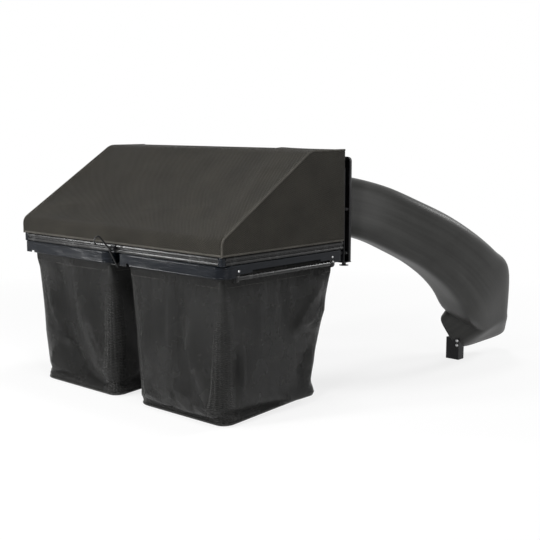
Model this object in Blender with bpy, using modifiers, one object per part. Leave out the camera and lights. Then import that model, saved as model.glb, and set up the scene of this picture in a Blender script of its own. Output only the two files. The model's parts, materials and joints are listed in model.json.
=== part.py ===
"""Rear grass catcher for a ride-on mower: soft-top hood, two hanging bags, chute.

Run with: blender --background --python part.py
Metres, +Z up, +Y towards the mower, +X to the right seen from behind.
The origin is the middle of the hitch plate's front face.
"""
import math

import bmesh
import bpy
from mathutils import Matrix, Vector

# Clearances
SEAT = 0.0003                           # gap left between two pieces that touch
TURN = 0.0006                           # radial running clearance at a pivot
THROUGH = 0.020                         # depth of a drill that goes right through
OVER = 0.010                            # cutters reach this far past an open side

# Overall sizes
WIDTH = 0.950                           # across the outer faces of the hood rails
DEPTH = 0.583                           # rear face of the rails to the panel's front face
HOOD_HEIGHT = 0.299                     # top of the cloth
HALF = WIDTH / 2

# Hitch plate, what the mower's frame holds
HITCH_WIDTH = 0.240
HITCH_HEIGHT = 0.080
HITCH_THICK = 0.008
HITCH_ROUND = 0.012
HITCH_BOLT_X = 0.095
HITCH_BOLT_Z = 0.022
HITCH_BLIND = 0.006                     # depth of the blind bolt holes

PANEL_Y = -HITCH_THICK - SEAT           # front face of the panel
REAR_Y = PANEL_Y - DEPTH                # rear face of the hood rails

# Front panel, a pressed tray
PANEL_TOP = HOOD_HEIGHT - 0.023
PANEL_BOTTOM = -0.055
PANEL_SHEET = 0.0025
PANEL_TRAY = 0.018                      # depth of the turned edges
PANEL_ROUND = 0.013                     # outer radius of the turned edges
BEAD_HEIGHT = 0.004                     # stiffening beads stand this proud
BEAD_WIDTH = 0.018
BEAD_LENGTH = 0.230
BEAD_COUNT = 4
BEAD_EDGE = 0.075                       # first bead from the panel's left edge
BEAD_HITCH = 0.040                      # last bead from the hitch plate

# Posts, outward-open channels nested in the tray
POST_WIDTH = 0.029
POST_DEPTH = 0.037
POST_SHEET = 0.0025
POST_TOP = PANEL_TOP - 0.036
POST_BOTTOM = PANEL_BOTTOM - 0.003
POST_FRONT_Y = PANEL_Y - PANEL_SHEET - SEAT
POST_REAR_Y = POST_FRONT_Y - POST_DEPTH
POST_OUT_X = HALF - PANEL_SHEET - 2 * SEAT
POST_IN_X = POST_OUT_X - POST_WIDTH
POST_BOLT_Z = (-0.030, 0.110)
FOOT_RADIUS = 0.015
FOOT_THICK = 0.003
FOOT_NECK = 0.0065
FOOT_HEIGHT = 0.010

# Hood rails, one double-bead section on three sides
BEAD_RADIUS = 0.0062
BEAD_PITCH = 0.0146
RAIL_WEB = 0.004
RAIL_TOP = 0.0125
RAIL_UPPER_Z = RAIL_TOP - BEAD_RADIUS
RAIL_LOWER_Z = RAIL_UPPER_Z - BEAD_PITCH
RAIL_BOTTOM = RAIL_LOWER_Z - BEAD_RADIUS
CORNER_SIZE = 0.016                     # moulded corner piece between two rails
CORNER_ROUND = 0.003

# Bag rims, moulded inverted channels that drop over the bag rails
RIM_GAP = 0.041                         # between the two bags
RIM_FRONT_CLEAR = 0.052                 # from their front faces to the panel
RIM_DEPTH = DEPTH - RIM_FRONT_CLEAR
RIM_BAND = 0.036                        # height of the outer skirt
RIM_WALL = 0.0025
RIM_CHANNEL = 0.030                     # across the channel, walls included
RIM_COLLAR = 0.052                      # height of the inner collar
RIM_ROUND = 0.038                       # the rear right corner
RIM_TIGHT = 0.012                       # the other three corners
RIM_INNER_ROUND = 0.008
RIM_EDGE = 0.002                        # broken edges along the top
RAIL_CLEAR = 0.0015                     # round a bag rail where it passes a notch
RIM_WIDTH = (WIDTH - RIM_GAP) / 2
RIM_TOP = RAIL_BOTTOM - SEAT
RIM_FRONT_Y = REAR_Y + RIM_DEPTH
NOTCH_WIDTH = 0.019                     # arch in the rear skirt, near its left end
NOTCH_HEIGHT = 0.009
NOTCH_OFFSET = 0.043

# Bag rails, bent tubes inside the rim channels
TUBE = 0.008                            # radius
TUBE_INSET = RIM_WALL + TUBE + 0.005    # tube axis in from the rim's outer face
TUBE_Z = RIM_TOP - RIM_WALL - SEAT - TUBE

# Bag cloth, an open-topped shell sewn round the collar
CLOTH = 0.0032
CLOTH_TOP_DROP = 0.0252                 # top hem below the rim's top
CLOTH_TOP = RIM_TOP - CLOTH_TOP_DROP
CLOTH_INSET = RIM_CHANNEL - RIM_WALL - SEAT - CLOTH
BAG_FLOOR = -0.494                      # rear edge of the bag's base
BAG_BASE_RISE = 0.024                   # the base rises towards the front
BAG_EDGE = 0.014                        # rounding round the base
BAG_SIDE_TOP = 0.045                    # the walls end this far above the base
BAG_FLANK_INSET = 0.032                 # insets from the rim at the foot of the walls
BAG_REAR_INSET = 0.040
BAG_FRONT_INSET = 0.070
BAG_CORNER = 0.046                      # radius of the upright corners at the foot
BAG_LEVELS = (0.22, 0.42, 0.64, 0.86, 1.0)
BAG_TAPER = 1.25                        # powers of the walls' curve and the corners'
BAG_CORNER_TAPER = 3.5

# Bag handles, a bar under the right side of each rim
GRIP = 0.0072                           # radius of the bar
GRIP_END = 0.0125                       # radius of the round end
GRIP_END_LENGTH = 0.012
GRIP_FROM = 0.058                       # from the rim's rear face
GRIP_TO = RIM_DEPTH - 0.041
GRIP_CHAMFER = 0.0015
GRIP_CLEAR = 0.002                      # between its round ends and the rim's recess
GRIP_AXIS_DROP = 0.0388                 # below the rim's top
GRIP_AXIS_INSET = 0.0085                # in from the rim's outer face
GRIP_GAP = 0.0125                       # finger gap over the bar
GRIP_GAP_MARGIN = 0.065                 # from each end to the finger gap
GRIP_TAB = 0.0030
GRIP_TAB_WIDTH = 0.016
GRIP_TAB_HEIGHT = 0.030
GRIP_SCREW_RISE = 0.0215                # screw above the bar's axis
SMALL = 0.62                            # size of a small screw against a bolt

# Hood, cloth over two hoops
HOOD_CLOTH = 0.0025
HOOD_REAR_WALL = 0.048                  # height of the upright rear strip
HOOD_KNEE = 0.378                       # from the rear to the knee
HOOD_FRONT_GAP = 0.047                  # cloth ends this far behind the panel
HOOD_CREASE = 0.006
HOOD_KNEE_ROUND = 0.050
HOOD_HEEL_ROUND = 0.030
HOOD_FRONT_Y = PANEL_Y - HOOD_FRONT_GAP
HOOD_OUT = 0.0025                       # cloth stands this far outside the rails
HOOP = 0.005                            # radius
HOOP_BEND = 0.020                       # radius of its front bend
HOOP_TUCK = 0.35                        # share of the crease that the hoop keeps off
KNEE_TUBE_AHEAD = 0.0175                # of the knee

# Hood hinge
HINGE_BACK = 0.058                      # axis behind the panel
HINGE_Y = PANEL_Y - HINGE_BACK
HINGE_Z = HOOD_HEIGHT - 0.027
PIVOT_TUBE = 0.008                      # radius of the front cross tube
EYE_RADIUS = 0.012
EYE_THICK = 0.004
HINGE_ARM = 0.050                       # from the axis forward to the bolts' edge
HINGE_HEEL = 0.020                      # and to the arm's rear edge
HINGE_SHOULDER = 0.032                  # from the axis down to the arm's top
HINGE_DROP = 0.067                      # and to its bottom
HINGE_BOLT_Y = 0.038
HINGE_BOLT_Z = (-0.040, -0.056)

# Latch, a bent spring wire on a pin
WIRE = 0.0018                           # radius
PIN = 0.0024                            # radius
LATCH_BACK = 0.0102                     # pin axis behind the rail's face
LATCH_Z = RAIL_UPPER_Z - BEAD_PITCH / 2
LATCH_SHEET = 0.002
LATCH_WIDTH = 0.022
LATCH_EAR_GAP = 0.010                   # between the two ears
LATCH_EAR = 0.0055                      # radius of an ear round the pin
LATCH_EDGE = 0.002                      # the clip ends this far inside the rail's height
PIN_HEAD = 0.0036
PIN_HEAD_THICK = 0.0015
LEG_ANGLE = math.radians(29.5)          # leg from the vertical, forwards
LEG_LENGTH = 0.066
COIL_START = math.radians(223)          # where the shank meets the coil
HANDLE_LENGTH = 0.056                   # shank above the coil
HANDLE_EYE = 0.0055                     # radius of the finger curl
HANDLE_LEAN = 0.3                       # how far the curl's top leans back
CURL_FROM = math.radians(300)
CURL_TURN = math.radians(252)
CURL_STEPS = 9
COIL_STEPS = 16
CATCH_THICK = 0.0024
CATCH_DEPTH = 0.018
CATCH_DROP = 0.003                      # below the rims' skirts

# Chute, a moulded tube from the panel to the deck boot, in five lengths
CHUTE_REACH = 0.900                     # the panel to the boot's mouth, straight ahead
CHUTE_EDGE = 0.165                      # its middle from the panel's right edge
CHUTE_X = HALF - CHUTE_EDGE
CHUTE_Z = 0.112
CHUTE_HALF_WIDTH = 0.098
CHUTE_HALF_HEIGHT = 0.098
CHUTE_WALL = 0.0035
CHUTE_FLANGE = 0.018
CHUTE_CORNER = 0.42                     # rounding, as a share of the half size
RING_POINTS = 28
# Its route outwards, ahead and up, as shares of the reach, then the width and
# height as shares of the inlet's
CHUTE_ROUTE = (
    (0.000, 0.000, 0.000, 1.00, 1.00),
    (0.009, 0.056, 0.000, 1.00, 0.99),
    (0.056, 0.122, -0.009, 0.99, 0.98),
    (0.122, 0.198, -0.037, 0.98, 0.98),
    (0.176, 0.294, -0.086, 0.98, 1.00),
    (0.214, 0.404, -0.141, 0.98, 1.04),
    (0.241, 0.518, -0.210, 0.98, 1.10),
    (0.250, 0.624, -0.283, 0.98, 1.19),
    (0.240, 0.722, -0.358, 0.97, 1.29),
)
# Boot, its rear inner, rear outer, front outer and front inner corners
BOOT_CREASE = (
    (0.128, 0.669, -0.463),
    (0.278, 0.741, -0.550),
    (0.306, 0.911, -0.494),
    (0.144, 0.956, -0.347),
)
BOOT_MOUTH = (
    (0.100, 0.680, -0.491),
    (0.161, 0.736, -0.630),
    (0.239, 1.008, -0.586),
    (0.144, 0.974, -0.436),
)
SKIRT_FLARE = 0.005
SKIRT_SWELL = 0.8                       # share of the flare reached halfway down
CHUTE_LENGTHS = ("chute_inlet", "chute_neck", "chute_elbow", "chute_barrel", "chute_boot")
CHUTE_SEAMS = (3, 6, 10, 15)            # stations where one length meets the next
MOUTH_CLEAR = 0.002                     # the bracket stays this clear below the mouth

# Boot bracket, the steel hook at the boot's rear corner
HOOK_WIDTH = 0.054
HOOK_DEPTH = 0.036
HOOK_THICK = 0.006
HOOK_LAP = 0.042                        # how far it reaches up beside the boot
HOOK_DROP = 0.039                       # and down below the boot's corner
HOOK_LEFT = 0.012                       # its middle left of the boot's corner
HOOK_AHEAD = 0.002                      # and ahead of it
HOOK_SCREW_X = 0.008                    # screws right of the boot's corner
HOOK_SCREW_Z = (0.016, 0.033)           # and above it
HOOK_SCREW = 0.018                      # length of a screw

# Fasteners
BOLT = 0.003                            # shank radius
BOLT_HEAD = 0.0062
BOLT_HEAD_THICK = 0.0035
NUT_THICK = 0.004
BOLT_TIP = 0.003                        # shank past the nut
HOLE = BOLT + TURN


def clear_scene():
    for old in list(bpy.data.objects):
        bpy.data.objects.remove(old, do_unlink=True)


def collection(name):
    made = bpy.data.collections.new(name)
    bpy.context.scene.collection.children.link(made)
    return made


clear_scene()
PARTS = collection("grass_catcher")
CUTTERS = collection("cutters")


def material(name, colour, roughness, metallic=0.0):
    made = bpy.data.materials.new(name)
    made.use_nodes = True
    made.diffuse_color = (*colour, 1.0)
    shader = made.node_tree.nodes["Principled BSDF"]
    shader.inputs["Base Color"].default_value = (*colour, 1.0)
    shader.inputs["Roughness"].default_value = roughness
    shader.inputs["Metallic"].default_value = metallic
    return made


HOOD_MESH_CLOTH = material("hood_cloth", (0.030, 0.028, 0.024), 0.85)
BAG_MESH_CLOTH = material("bag_cloth", (0.040, 0.040, 0.040), 0.80)
RIM_PLASTIC = material("rim_plastic", (0.010, 0.013, 0.018), 0.25)
CHUTE_PLASTIC = material("chute_plastic", (0.060, 0.060, 0.058), 0.45)
BLACK_STEEL = material("black_steel", (0.012, 0.012, 0.013), 0.35, 0.3)
RAIL_STEEL = material("rail_steel", (0.020, 0.020, 0.020), 0.28, 0.4)
ZINC = material("zinc", (0.250, 0.250, 0.250), 0.40, 0.9)


def add_object(name, data, finish, home=None):
    made = bpy.data.objects.new(name, data)
    (home or PARTS).objects.link(made)
    if finish is not None:
        made.data.materials.append(finish)
    return made


def finish_mesh(name, bm, finish, home=None, smooth=None):
    """Turn a bmesh into an object, with all its faces pointing outwards."""
    bmesh.ops.recalc_face_normals(bm, faces=bm.faces)
    mesh = bpy.data.meshes.new(name)
    bm.to_mesh(mesh)
    bm.free()
    if smooth is not None:
        mesh.shade_smooth()
        mesh.set_sharp_from_angle(angle=math.radians(smooth))
    return add_object(name, mesh, finish, home)


def box_bmesh(low, high):
    bm = bmesh.new()
    low = Vector(low)
    high = Vector(high)
    bmesh.ops.create_cube(bm, size=1.0)
    bmesh.ops.scale(bm, vec=high - low, verts=bm.verts)
    bmesh.ops.translate(bm, vec=(low + high) / 2, verts=bm.verts)
    return bm


def round_edges(bm, edges, radius, segments):
    bmesh.ops.bevel(bm, geom=edges, offset=radius, segments=segments, affect="EDGES", profile=0.5)


def box(name, low, high, finish, round_by=0.0, home=None):
    bm = box_bmesh(low, high)
    if round_by:
        round_edges(bm, bm.edges[:], round_by, 2)
    return finish_mesh(name, bm, finish, home)


def turned(name, profile, at, axis, finish, steps=16, home=None):
    """Turn a profile of (radius, height) pairs about an axis through a point."""
    bm = bmesh.new()
    verts = [bm.verts.new((radius, 0.0, height)) for radius, height in profile]
    edges = [bm.edges.new(pair) for pair in zip(verts, verts[1:])]
    bmesh.ops.spin(bm, geom=verts + edges, cent=(0, 0, 0), axis=(0, 0, 1),
                   angle=2 * math.pi, steps=steps, use_merge=True)
    bmesh.ops.remove_doubles(bm, verts=bm.verts, dist=0.00001)
    turn = Vector((0, 0, 1)).rotation_difference(Vector(axis)).to_matrix().to_4x4()
    bm.transform(Matrix.Translation(at) @ turn)
    return finish_mesh(name, bm, finish, home, smooth=35)


def rod(name, start, end, radius, finish, steps=16, home=None):
    start = Vector(start)
    run = Vector(end) - start
    profile = [(0, 0), (radius, 0), (radius, run.length), (0, run.length)]
    return turned(name, profile, start, run, finish, steps, home)


def fillet(points, radii, steps=4):
    """Round the inner corners of a path of points, each by its own radius."""
    points = [Vector(p) for p in points]
    path = [points[0]]
    for before, corner, after, radius in zip(points, points[1:], points[2:], radii):
        back = (before - corner).normalized()
        ahead = (after - corner).normalized()
        half_angle = back.angle(ahead) / 2
        reach = radius / math.tan(half_angle)
        centre = corner + (back + ahead).normalized() * (radius / math.sin(half_angle))
        start = corner + back * reach - centre
        end = corner + ahead * reach - centre
        sweep = start.angle(end)
        for i in range(steps + 1):
            share = i / steps
            near = math.sin((1 - share) * sweep) / math.sin(sweep)
            far = math.sin(share * sweep) / math.sin(sweep)
            path.append(centre + start * near + end * far)
    path.append(points[-1])
    return path


def tube(name, path, radius, finish, sides=2):
    """A solid bent rod or tube along a path, with closed ends."""
    curve = bpy.data.curves.new(name, "CURVE")
    curve.dimensions = "3D"
    curve.bevel_depth = radius
    curve.bevel_resolution = sides
    curve.use_fill_caps = True
    spline = curve.splines.new("POLY")
    spline.points.add(len(path) - 1)
    for point, place in zip(spline.points, path):
        point.co = (*place, 1.0)
    return add_object(name, curve, finish)


def extruded(name, outline, start, run, finish, home=None, smooth=None):
    """Extrude a closed outline of 3D points along a vector."""
    bm = bmesh.new()
    verts = [bm.verts.new(Vector(point) + Vector(start)) for point in outline]
    face = bm.faces.new(verts)
    made = bmesh.ops.extrude_face_region(bm, geom=[face])
    moved = [item for item in made["geom"] if isinstance(item, bmesh.types.BMVert)]
    bmesh.ops.translate(bm, vec=run, verts=moved)
    return finish_mesh(name, bm, finish, home, smooth)


def boolean(target, tool, operation="DIFFERENCE"):
    """Apply a cut or a join to the mesh and put the cutter away."""
    modifier = target.modifiers.new(tool.name, "BOOLEAN")
    modifier.operation = operation
    modifier.object = tool
    bpy.context.view_layer.update()
    graph = bpy.context.evaluated_depsgraph_get()
    mesh = bpy.data.meshes.new_from_object(target.evaluated_get(graph))
    target.modifiers.clear()
    target.data = mesh
    bpy.data.objects.remove(tool, do_unlink=True)


def drill(target, points, axis, radius, depth=THROUGH, steps=12):
    """Drill round holes of one size through a piece."""
    turn = Vector((0, 0, 1)).rotation_difference(Vector(axis)).to_matrix().to_4x4()
    bm = bmesh.new()
    for point in points:
        bmesh.ops.create_cone(bm, cap_ends=True, segments=steps, radius1=radius, radius2=radius,
                              depth=depth, matrix=Matrix.Translation(point) @ turn)
    boolean(target, finish_mesh("drills", bm, None, CUTTERS))


def bolt(name, at, axis, length, nut_at=None, size=1.0):
    """A round-head bolt: at is under its head, the shank runs against axis."""
    shank = BOLT * size
    head = BOLT_HEAD * size
    crown = BOLT_HEAD_THICK * size
    profile = [(0, crown), (head * 0.7, crown), (head, crown * 0.3), (head, 0), (shank, 0)]
    if nut_at is not None:
        profile += [(shank, -nut_at), (head, -nut_at), (head, -nut_at - NUT_THICK)]
        profile += [(shank, -nut_at - NUT_THICK)]
    profile += [(shank, -length), (0, -length)]
    return turned(name, profile, at, axis, ZINC, 10)


def sides():
    return (("left", -1), ("right", 1))


def rim_corner(side):
    """Outer X range of one bag's rim."""
    inner = RIM_GAP / 2
    low = inner if side > 0 else -inner - RIM_WIDTH
    return low, low + RIM_WIDTH


def ring_path(low_x, high_x, low_y, high_y, inset, rounds, steps=5):
    """Rounded rectangle inside an outline, counter-clockwise from the rear right.

    rounds are the outline's corner radii: rear right, front right, front
    left and rear left.
    """
    path = []
    places = ((high_x, low_y), (high_x, high_y), (low_x, high_y), (low_x, low_y))
    turns = ((-1, 1), (-1, -1), (1, -1), (1, 1))
    for number, ((x, y), (to_x, to_y), radius) in enumerate(zip(places, turns, rounds)):
        reach = max(radius - inset, RIM_INNER_ROUND)
        centre_x = x + to_x * (inset + reach)
        centre_y = y + to_y * (inset + reach)
        for i in range(steps + 1):
            angle = math.radians(90 * (number - 1 + i / steps))
            path.append((centre_x + reach * math.cos(angle), centre_y + reach * math.sin(angle)))
    return path


def skin(bm, rings, closed_ring=True, closed_run=False):
    """Join rings of vertices with faces."""
    count = len(rings[0])
    runs = len(rings) if closed_run else len(rings) - 1
    spans = count if closed_ring else count - 1
    for i in range(runs):
        here = rings[i]
        there = rings[(i + 1) % len(rings)]
        for j in range(spans):
            k = (j + 1) % count
            bm.faces.new((here[j], here[k], there[k], there[j]))


def front_panel():
    low = (-HALF, PANEL_Y - PANEL_TRAY, PANEL_BOTTOM)
    high = (HALF, PANEL_Y, PANEL_TOP)
    bm = box_bmesh(low, high)
    rounded = []
    for edge in bm.edges:
        middle = (edge.verts[0].co + edge.verts[1].co) / 2
        on_front = abs(middle.y - high[1]) < SEAT
        on_top_corner = abs(middle.z - high[2]) < SEAT and abs(abs(middle.x) - HALF) < SEAT
        if (on_front and middle.z > low[2] + SEAT) or on_top_corner:
            rounded.append(edge)
    round_edges(bm, rounded, PANEL_ROUND, 4)
    open_faces = [f for f in bm.faces if f.normal.y < -0.99 or f.normal.z < -0.99]
    bmesh.ops.delete(bm, geom=open_faces, context="FACES")
    panel = finish_mesh("front_panel", bm, BLACK_STEEL, smooth=35)
    shell = panel.modifiers.new("sheet", "SOLIDIFY")
    shell.thickness = PANEL_SHEET
    shell.offset = -1
    shell.use_even_offset = True
    bpy.context.view_layer.update()
    graph = bpy.context.evaluated_depsgraph_get()
    mesh = bpy.data.meshes.new_from_object(panel.evaluated_get(graph))
    panel.modifiers.clear()
    panel.data = mesh
    opening = chute_opening_cutter()
    boolean(panel, opening)
    first = BEAD_EDGE - HALF
    last = -HITCH_WIDTH / 2 - BEAD_HITCH
    for number in range(BEAD_COUNT):
        bead = panel_bead(f"bead_{number}", first + (last - first) * number / (BEAD_COUNT - 1))
        boolean(panel, bead, "UNION")
    drill(panel, flange_screw_points() + hitch_bolt_points() + post_bolt_points(), (0, 1, 0), HOLE)
    return panel


def panel_bead(name, x):
    """A pressed stiffening bead, a long half-round pad on the front face."""
    middle = (PANEL_TOP + PANEL_BOTTOM) / 2
    base = PANEL_Y - PANEL_SHEET / 2
    low = (x - BEAD_WIDTH / 2, base, middle - BEAD_LENGTH / 2)
    high = (x + BEAD_WIDTH / 2, PANEL_Y + BEAD_HEIGHT, middle + BEAD_LENGTH / 2)
    bm = box_bmesh(low, high)
    crown = [e for e in bm.edges if all(abs(v.co.y - high[1]) < SEAT for v in e.verts)]
    round_edges(bm, crown, BEAD_HEIGHT * 0.8, 3)
    return finish_mesh(name, bm, BLACK_STEEL, CUTTERS)


def hitch_bolt_points():
    return [(sx * HITCH_BOLT_X, PANEL_Y, sz * HITCH_BOLT_Z) for sx in (-1, 1) for sz in (-1, 1)]


def post_bolt_points():
    x = HALF - PANEL_ROUND - BOLT_HEAD - SEAT
    return [(sx * x, PANEL_Y, z) for sx in (-1, 1) for z in POST_BOLT_Z]


def flange_screw_points():
    reach_x = CHUTE_HALF_WIDTH + CHUTE_FLANGE / 2
    reach_z = CHUTE_HALF_HEIGHT + CHUTE_FLANGE / 2
    points = []
    for sx in (-1, 1):
        for share in (-0.55, 0.55):
            points.append((CHUTE_X + sx * reach_x, PANEL_Y, CHUTE_Z + share * reach_z))
    for sz in (-1, 1):
        points.append((CHUTE_X, PANEL_Y, CHUTE_Z + sz * reach_z))
    return points


def post(name, side):
    low_x, high_x = sorted((side * POST_IN_X, side * POST_OUT_X))
    made = box(name, (low_x, POST_REAR_Y, POST_BOTTOM), (high_x, POST_FRONT_Y, POST_TOP), BLACK_STEEL)
    inner = side * (POST_IN_X + POST_SHEET)
    outer = side * (POST_OUT_X + OVER)
    low_x, high_x = sorted((inner, outer))
    low = (low_x, POST_REAR_Y + POST_SHEET, POST_BOTTOM + POST_SHEET)
    high = (high_x, POST_FRONT_Y - POST_SHEET, POST_TOP + OVER)
    boolean(made, box("hollow", low, high, None, home=CUTTERS))
    low_x, high_x = sorted((side * (HALF - PANEL_ROUND), outer))
    low = (low_x, POST_FRONT_Y - PANEL_ROUND, POST_BOTTOM + POST_SHEET)
    high = (high_x, POST_FRONT_Y + OVER, POST_TOP + OVER)
    boolean(made, box("round_clearance", low, high, None, home=CUTTERS))
    bolts = [point for point in post_bolt_points() if point[0] * side > 0]
    drill(made, bolts, (0, 1, 0), HOLE)
    drill(made, hinge_bolt_points(side * POST_IN_X), (1, 0, 0), HOLE)
    return made


def foot(name, side):
    """The flanged pin that drops into the mower's bracket."""
    at = (side * (POST_IN_X + POST_OUT_X) / 2, (POST_FRONT_Y + POST_REAR_Y) / 2, POST_BOTTOM - SEAT)
    profile = [
        (0, 0),
        (FOOT_NECK, 0),
        (FOOT_NECK, FOOT_THICK - FOOT_HEIGHT),
        (FOOT_RADIUS, FOOT_THICK * 0.6 - FOOT_HEIGHT),
        (FOOT_RADIUS, -FOOT_HEIGHT),
        (0, -FOOT_HEIGHT),
    ]
    return turned(name, profile, at, (0, 0, 1), BLACK_STEEL, 20)


def bag_rail(name, side):
    """One bent tube for each bag, inside its rim, from the post to the panel."""
    low, high = rim_corner(side)
    outer = (high if side > 0 else low) - side * TUBE_INSET
    inner = (low if side > 0 else high) + side * TUBE_INSET
    rear = REAR_Y + TUBE_INSET
    path = [
        (outer, POST_REAR_Y - SEAT, TUBE_Z),
        (outer, rear, TUBE_Z),
        (inner, rear, TUBE_Z),
        (inner, PANEL_Y - PANEL_SHEET - SEAT, TUBE_Z),
    ]
    bend = RIM_ROUND - TUBE_INSET
    return tube(name, fillet(path, (bend, bend), 4), TUBE, BLACK_STEEL, 3)


def latch_catch():
    """A strap under the two inner rails, which the latch wire hooks on."""
    ear = RIM_GAP / 2 + TUBE_INSET
    top = TUBE_Z - TUBE - SEAT
    low = RIM_TOP - RIM_BAND - CATCH_DROP
    ends = ear + CATCH_THICK / 2
    outline = [
        (-ends, 0, top),
        (-ends, 0, low - CATCH_THICK),
        (ends, 0, low - CATCH_THICK),
        (ends, 0, top),
        (ends - CATCH_THICK, 0, top),
        (ends - CATCH_THICK, 0, low),
        (CATCH_THICK - ends, 0, low),
        (CATCH_THICK - ends, 0, top),
    ]
    return extruded("latch_catch", outline, (0, catch_rear_y(), 0), (0, CATCH_DEPTH, 0), BLACK_STEEL)


def catch_rear_y():
    """The strap's rear edge lies just clear of the latch wire's leg."""
    fall = LATCH_Z - (RIM_TOP - RIM_BAND - CATCH_DROP - CATCH_THICK)
    leg_y = REAR_Y - LATCH_BACK - coil_radius() / math.cos(LEG_ANGLE) + fall * math.tan(LEG_ANGLE)
    return leg_y + (WIRE + 2 * SEAT) / math.cos(LEG_ANGLE)


def hitch_plate():
    low = (-HITCH_WIDTH / 2, PANEL_Y + SEAT, -HITCH_HEIGHT / 2)
    high = (HITCH_WIDTH / 2, 0.0, HITCH_HEIGHT / 2)
    bm = box_bmesh(low, high)
    upright = [e for e in bm.edges if abs(e.verts[0].co.y - e.verts[1].co.y) > SEAT]
    round_edges(bm, upright, HITCH_ROUND, 4)
    made = finish_mesh("hitch_plate", bm, BLACK_STEEL)
    drill(made, hitch_bolt_points(), (0, 1, 0), HOLE, 2 * HITCH_BLIND)
    return made


def hitch_bolts():
    for number, (x, y, z) in enumerate(hitch_bolt_points(), 1):
        at = (x, PANEL_Y - PANEL_SHEET - SEAT, z)
        bolt(f"hitch_bolt_{number}", at, (0, -1, 0), PANEL_SHEET + HITCH_BLIND)


def post_bolts():
    grip = PANEL_SHEET + POST_SHEET + 3 * SEAT
    for number, (x, y, z) in enumerate(post_bolt_points(), 1):
        at = (x, PANEL_Y + SEAT, z)
        bolt(f"post_bolt_{number}", at, (0, 1, 0), grip + NUT_THICK + BOLT_TIP, grip)


def chute_screws():
    grip = CHUTE_WALL + PANEL_SHEET + 3 * SEAT
    for number, (x, y, z) in enumerate(flange_screw_points(), 1):
        at = (x, PANEL_Y + CHUTE_WALL + 2 * SEAT, z)
        bolt(f"chute_screw_{number}", at, (0, 1, 0), grip + NUT_THICK + BOLT_TIP, grip)


def square_ring(count, corner):
    """Points round a unit square with rounded corners, as (u, v) pairs."""
    points = []
    quarter = count // 4
    for number in range(4):
        for i in range(quarter):
            angle = math.radians(-45 + 90 * (number + i / quarter))
            cosine = math.cos(angle)
            sine = math.sin(angle)
            power = 2 / corner
            size = (abs(cosine) ** power + abs(sine) ** power) ** (-1 / power)
            points.append((cosine * size, sine * size))
    return points


def chute_place(out, ahead, up):
    """A point of the chute, in shares of its reach from the middle of its inlet."""
    inlet = Vector((CHUTE_X, PANEL_Y + SEAT + CHUTE_WALL, CHUTE_Z))
    return inlet + Vector((out, ahead, up)) * CHUTE_REACH


def chute_stations():
    """Each station is a centre and the vectors to its sides, top and corners."""
    centres = [chute_place(*station[:3]) for station in CHUTE_ROUTE]
    stations = []
    side = Vector((1, 0, 0))
    for number, (width, height) in enumerate(station[3:] for station in CHUTE_ROUTE):
        if number == 0:
            ahead = Vector((0, 1, 0))
        elif number == len(centres) - 1:
            ahead = (centres[number] - centres[number - 1]).normalized()
        else:
            ahead = (centres[number + 1] - centres[number - 1]).normalized()
        side = (side - ahead * side.dot(ahead)).normalized()
        up = side.cross(ahead) * height * CHUTE_HALF_HEIGHT
        stations.append([centres[number], side * width * CHUTE_HALF_WIDTH, up, Vector((0, 0, 0))])
    for corners in (BOOT_CREASE, BOOT_MOUTH):
        inner_low, outer_low, outer_high, inner_high = [chute_place(*corner) for corner in corners]
        stations.append([
            (inner_low + outer_low + outer_high + inner_high) / 4,
            (outer_low + outer_high - inner_low - inner_high) / 4,
            (outer_high + inner_high - outer_low - inner_low) / 4,
            (inner_low + outer_high - outer_low - inner_high) / 4,
        ])
    return stations


def blend_stations(stations, steps):
    """Smooth in-between stations along the tube, by Catmull-Rom."""
    smooth = []
    last = len(stations) - 1
    for i in range(last):
        p = [stations[max(i - 1, 0)], stations[i], stations[i + 1], stations[min(i + 2, last)]]
        for step in range(steps):
            t = step / steps
            weights = (
                -0.5 * t + t * t - 0.5 * t ** 3,
                1 - 2.5 * t * t + 1.5 * t ** 3,
                0.5 * t + 2 * t * t - 1.5 * t ** 3,
                -0.5 * t * t + 0.5 * t ** 3,
            )
            mixed = []
            for part in range(4):
                total = Vector((0, 0, 0))
                for weight, station in zip(weights, p):
                    total += station[part] * weight
                mixed.append(total)
            smooth.append(mixed)
    smooth.append(stations[-1])
    return smooth


def station_ring(bm, station, shape, grow=0.0):
    centre, side, up, skew = station
    ring = []
    for u, v in shape:
        u_grown = u * (1 + grow / side.length)
        v_grown = v * (1 + grow / up.length)
        place = centre + side * u_grown + up * v_grown + skew * u_grown * v_grown
        ring.append(bm.verts.new(place))
    return ring


def chute_run():
    """Stations of the tube, then of the flared skirt, with the flare of each."""
    stations = chute_stations()
    run = [(station, 0.0) for station in blend_stations(stations[:-1], 2)]
    crease, mouth = stations[-2:]
    middle = [(a + b) / 2 for a, b in zip(crease, mouth)]
    return run + [(middle, SKIRT_FLARE * SKIRT_SWELL), (mouth, SKIRT_FLARE)]


def chute():
    """The five lengths, butted end to end."""
    run = chute_run()
    ends = (0, *CHUTE_SEAMS, len(run) - 1)
    made = [chute_length(name, run, *span) for name, span in zip(CHUTE_LENGTHS, zip(ends, ends[1:]))]
    drill(made[0], flange_screw_points(), (0, 1, 0), HOLE)
    drill(made[-1], hook_screw_points(), (0, 1, 0), HOLE, 2 * HOOK_DEPTH)


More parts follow.
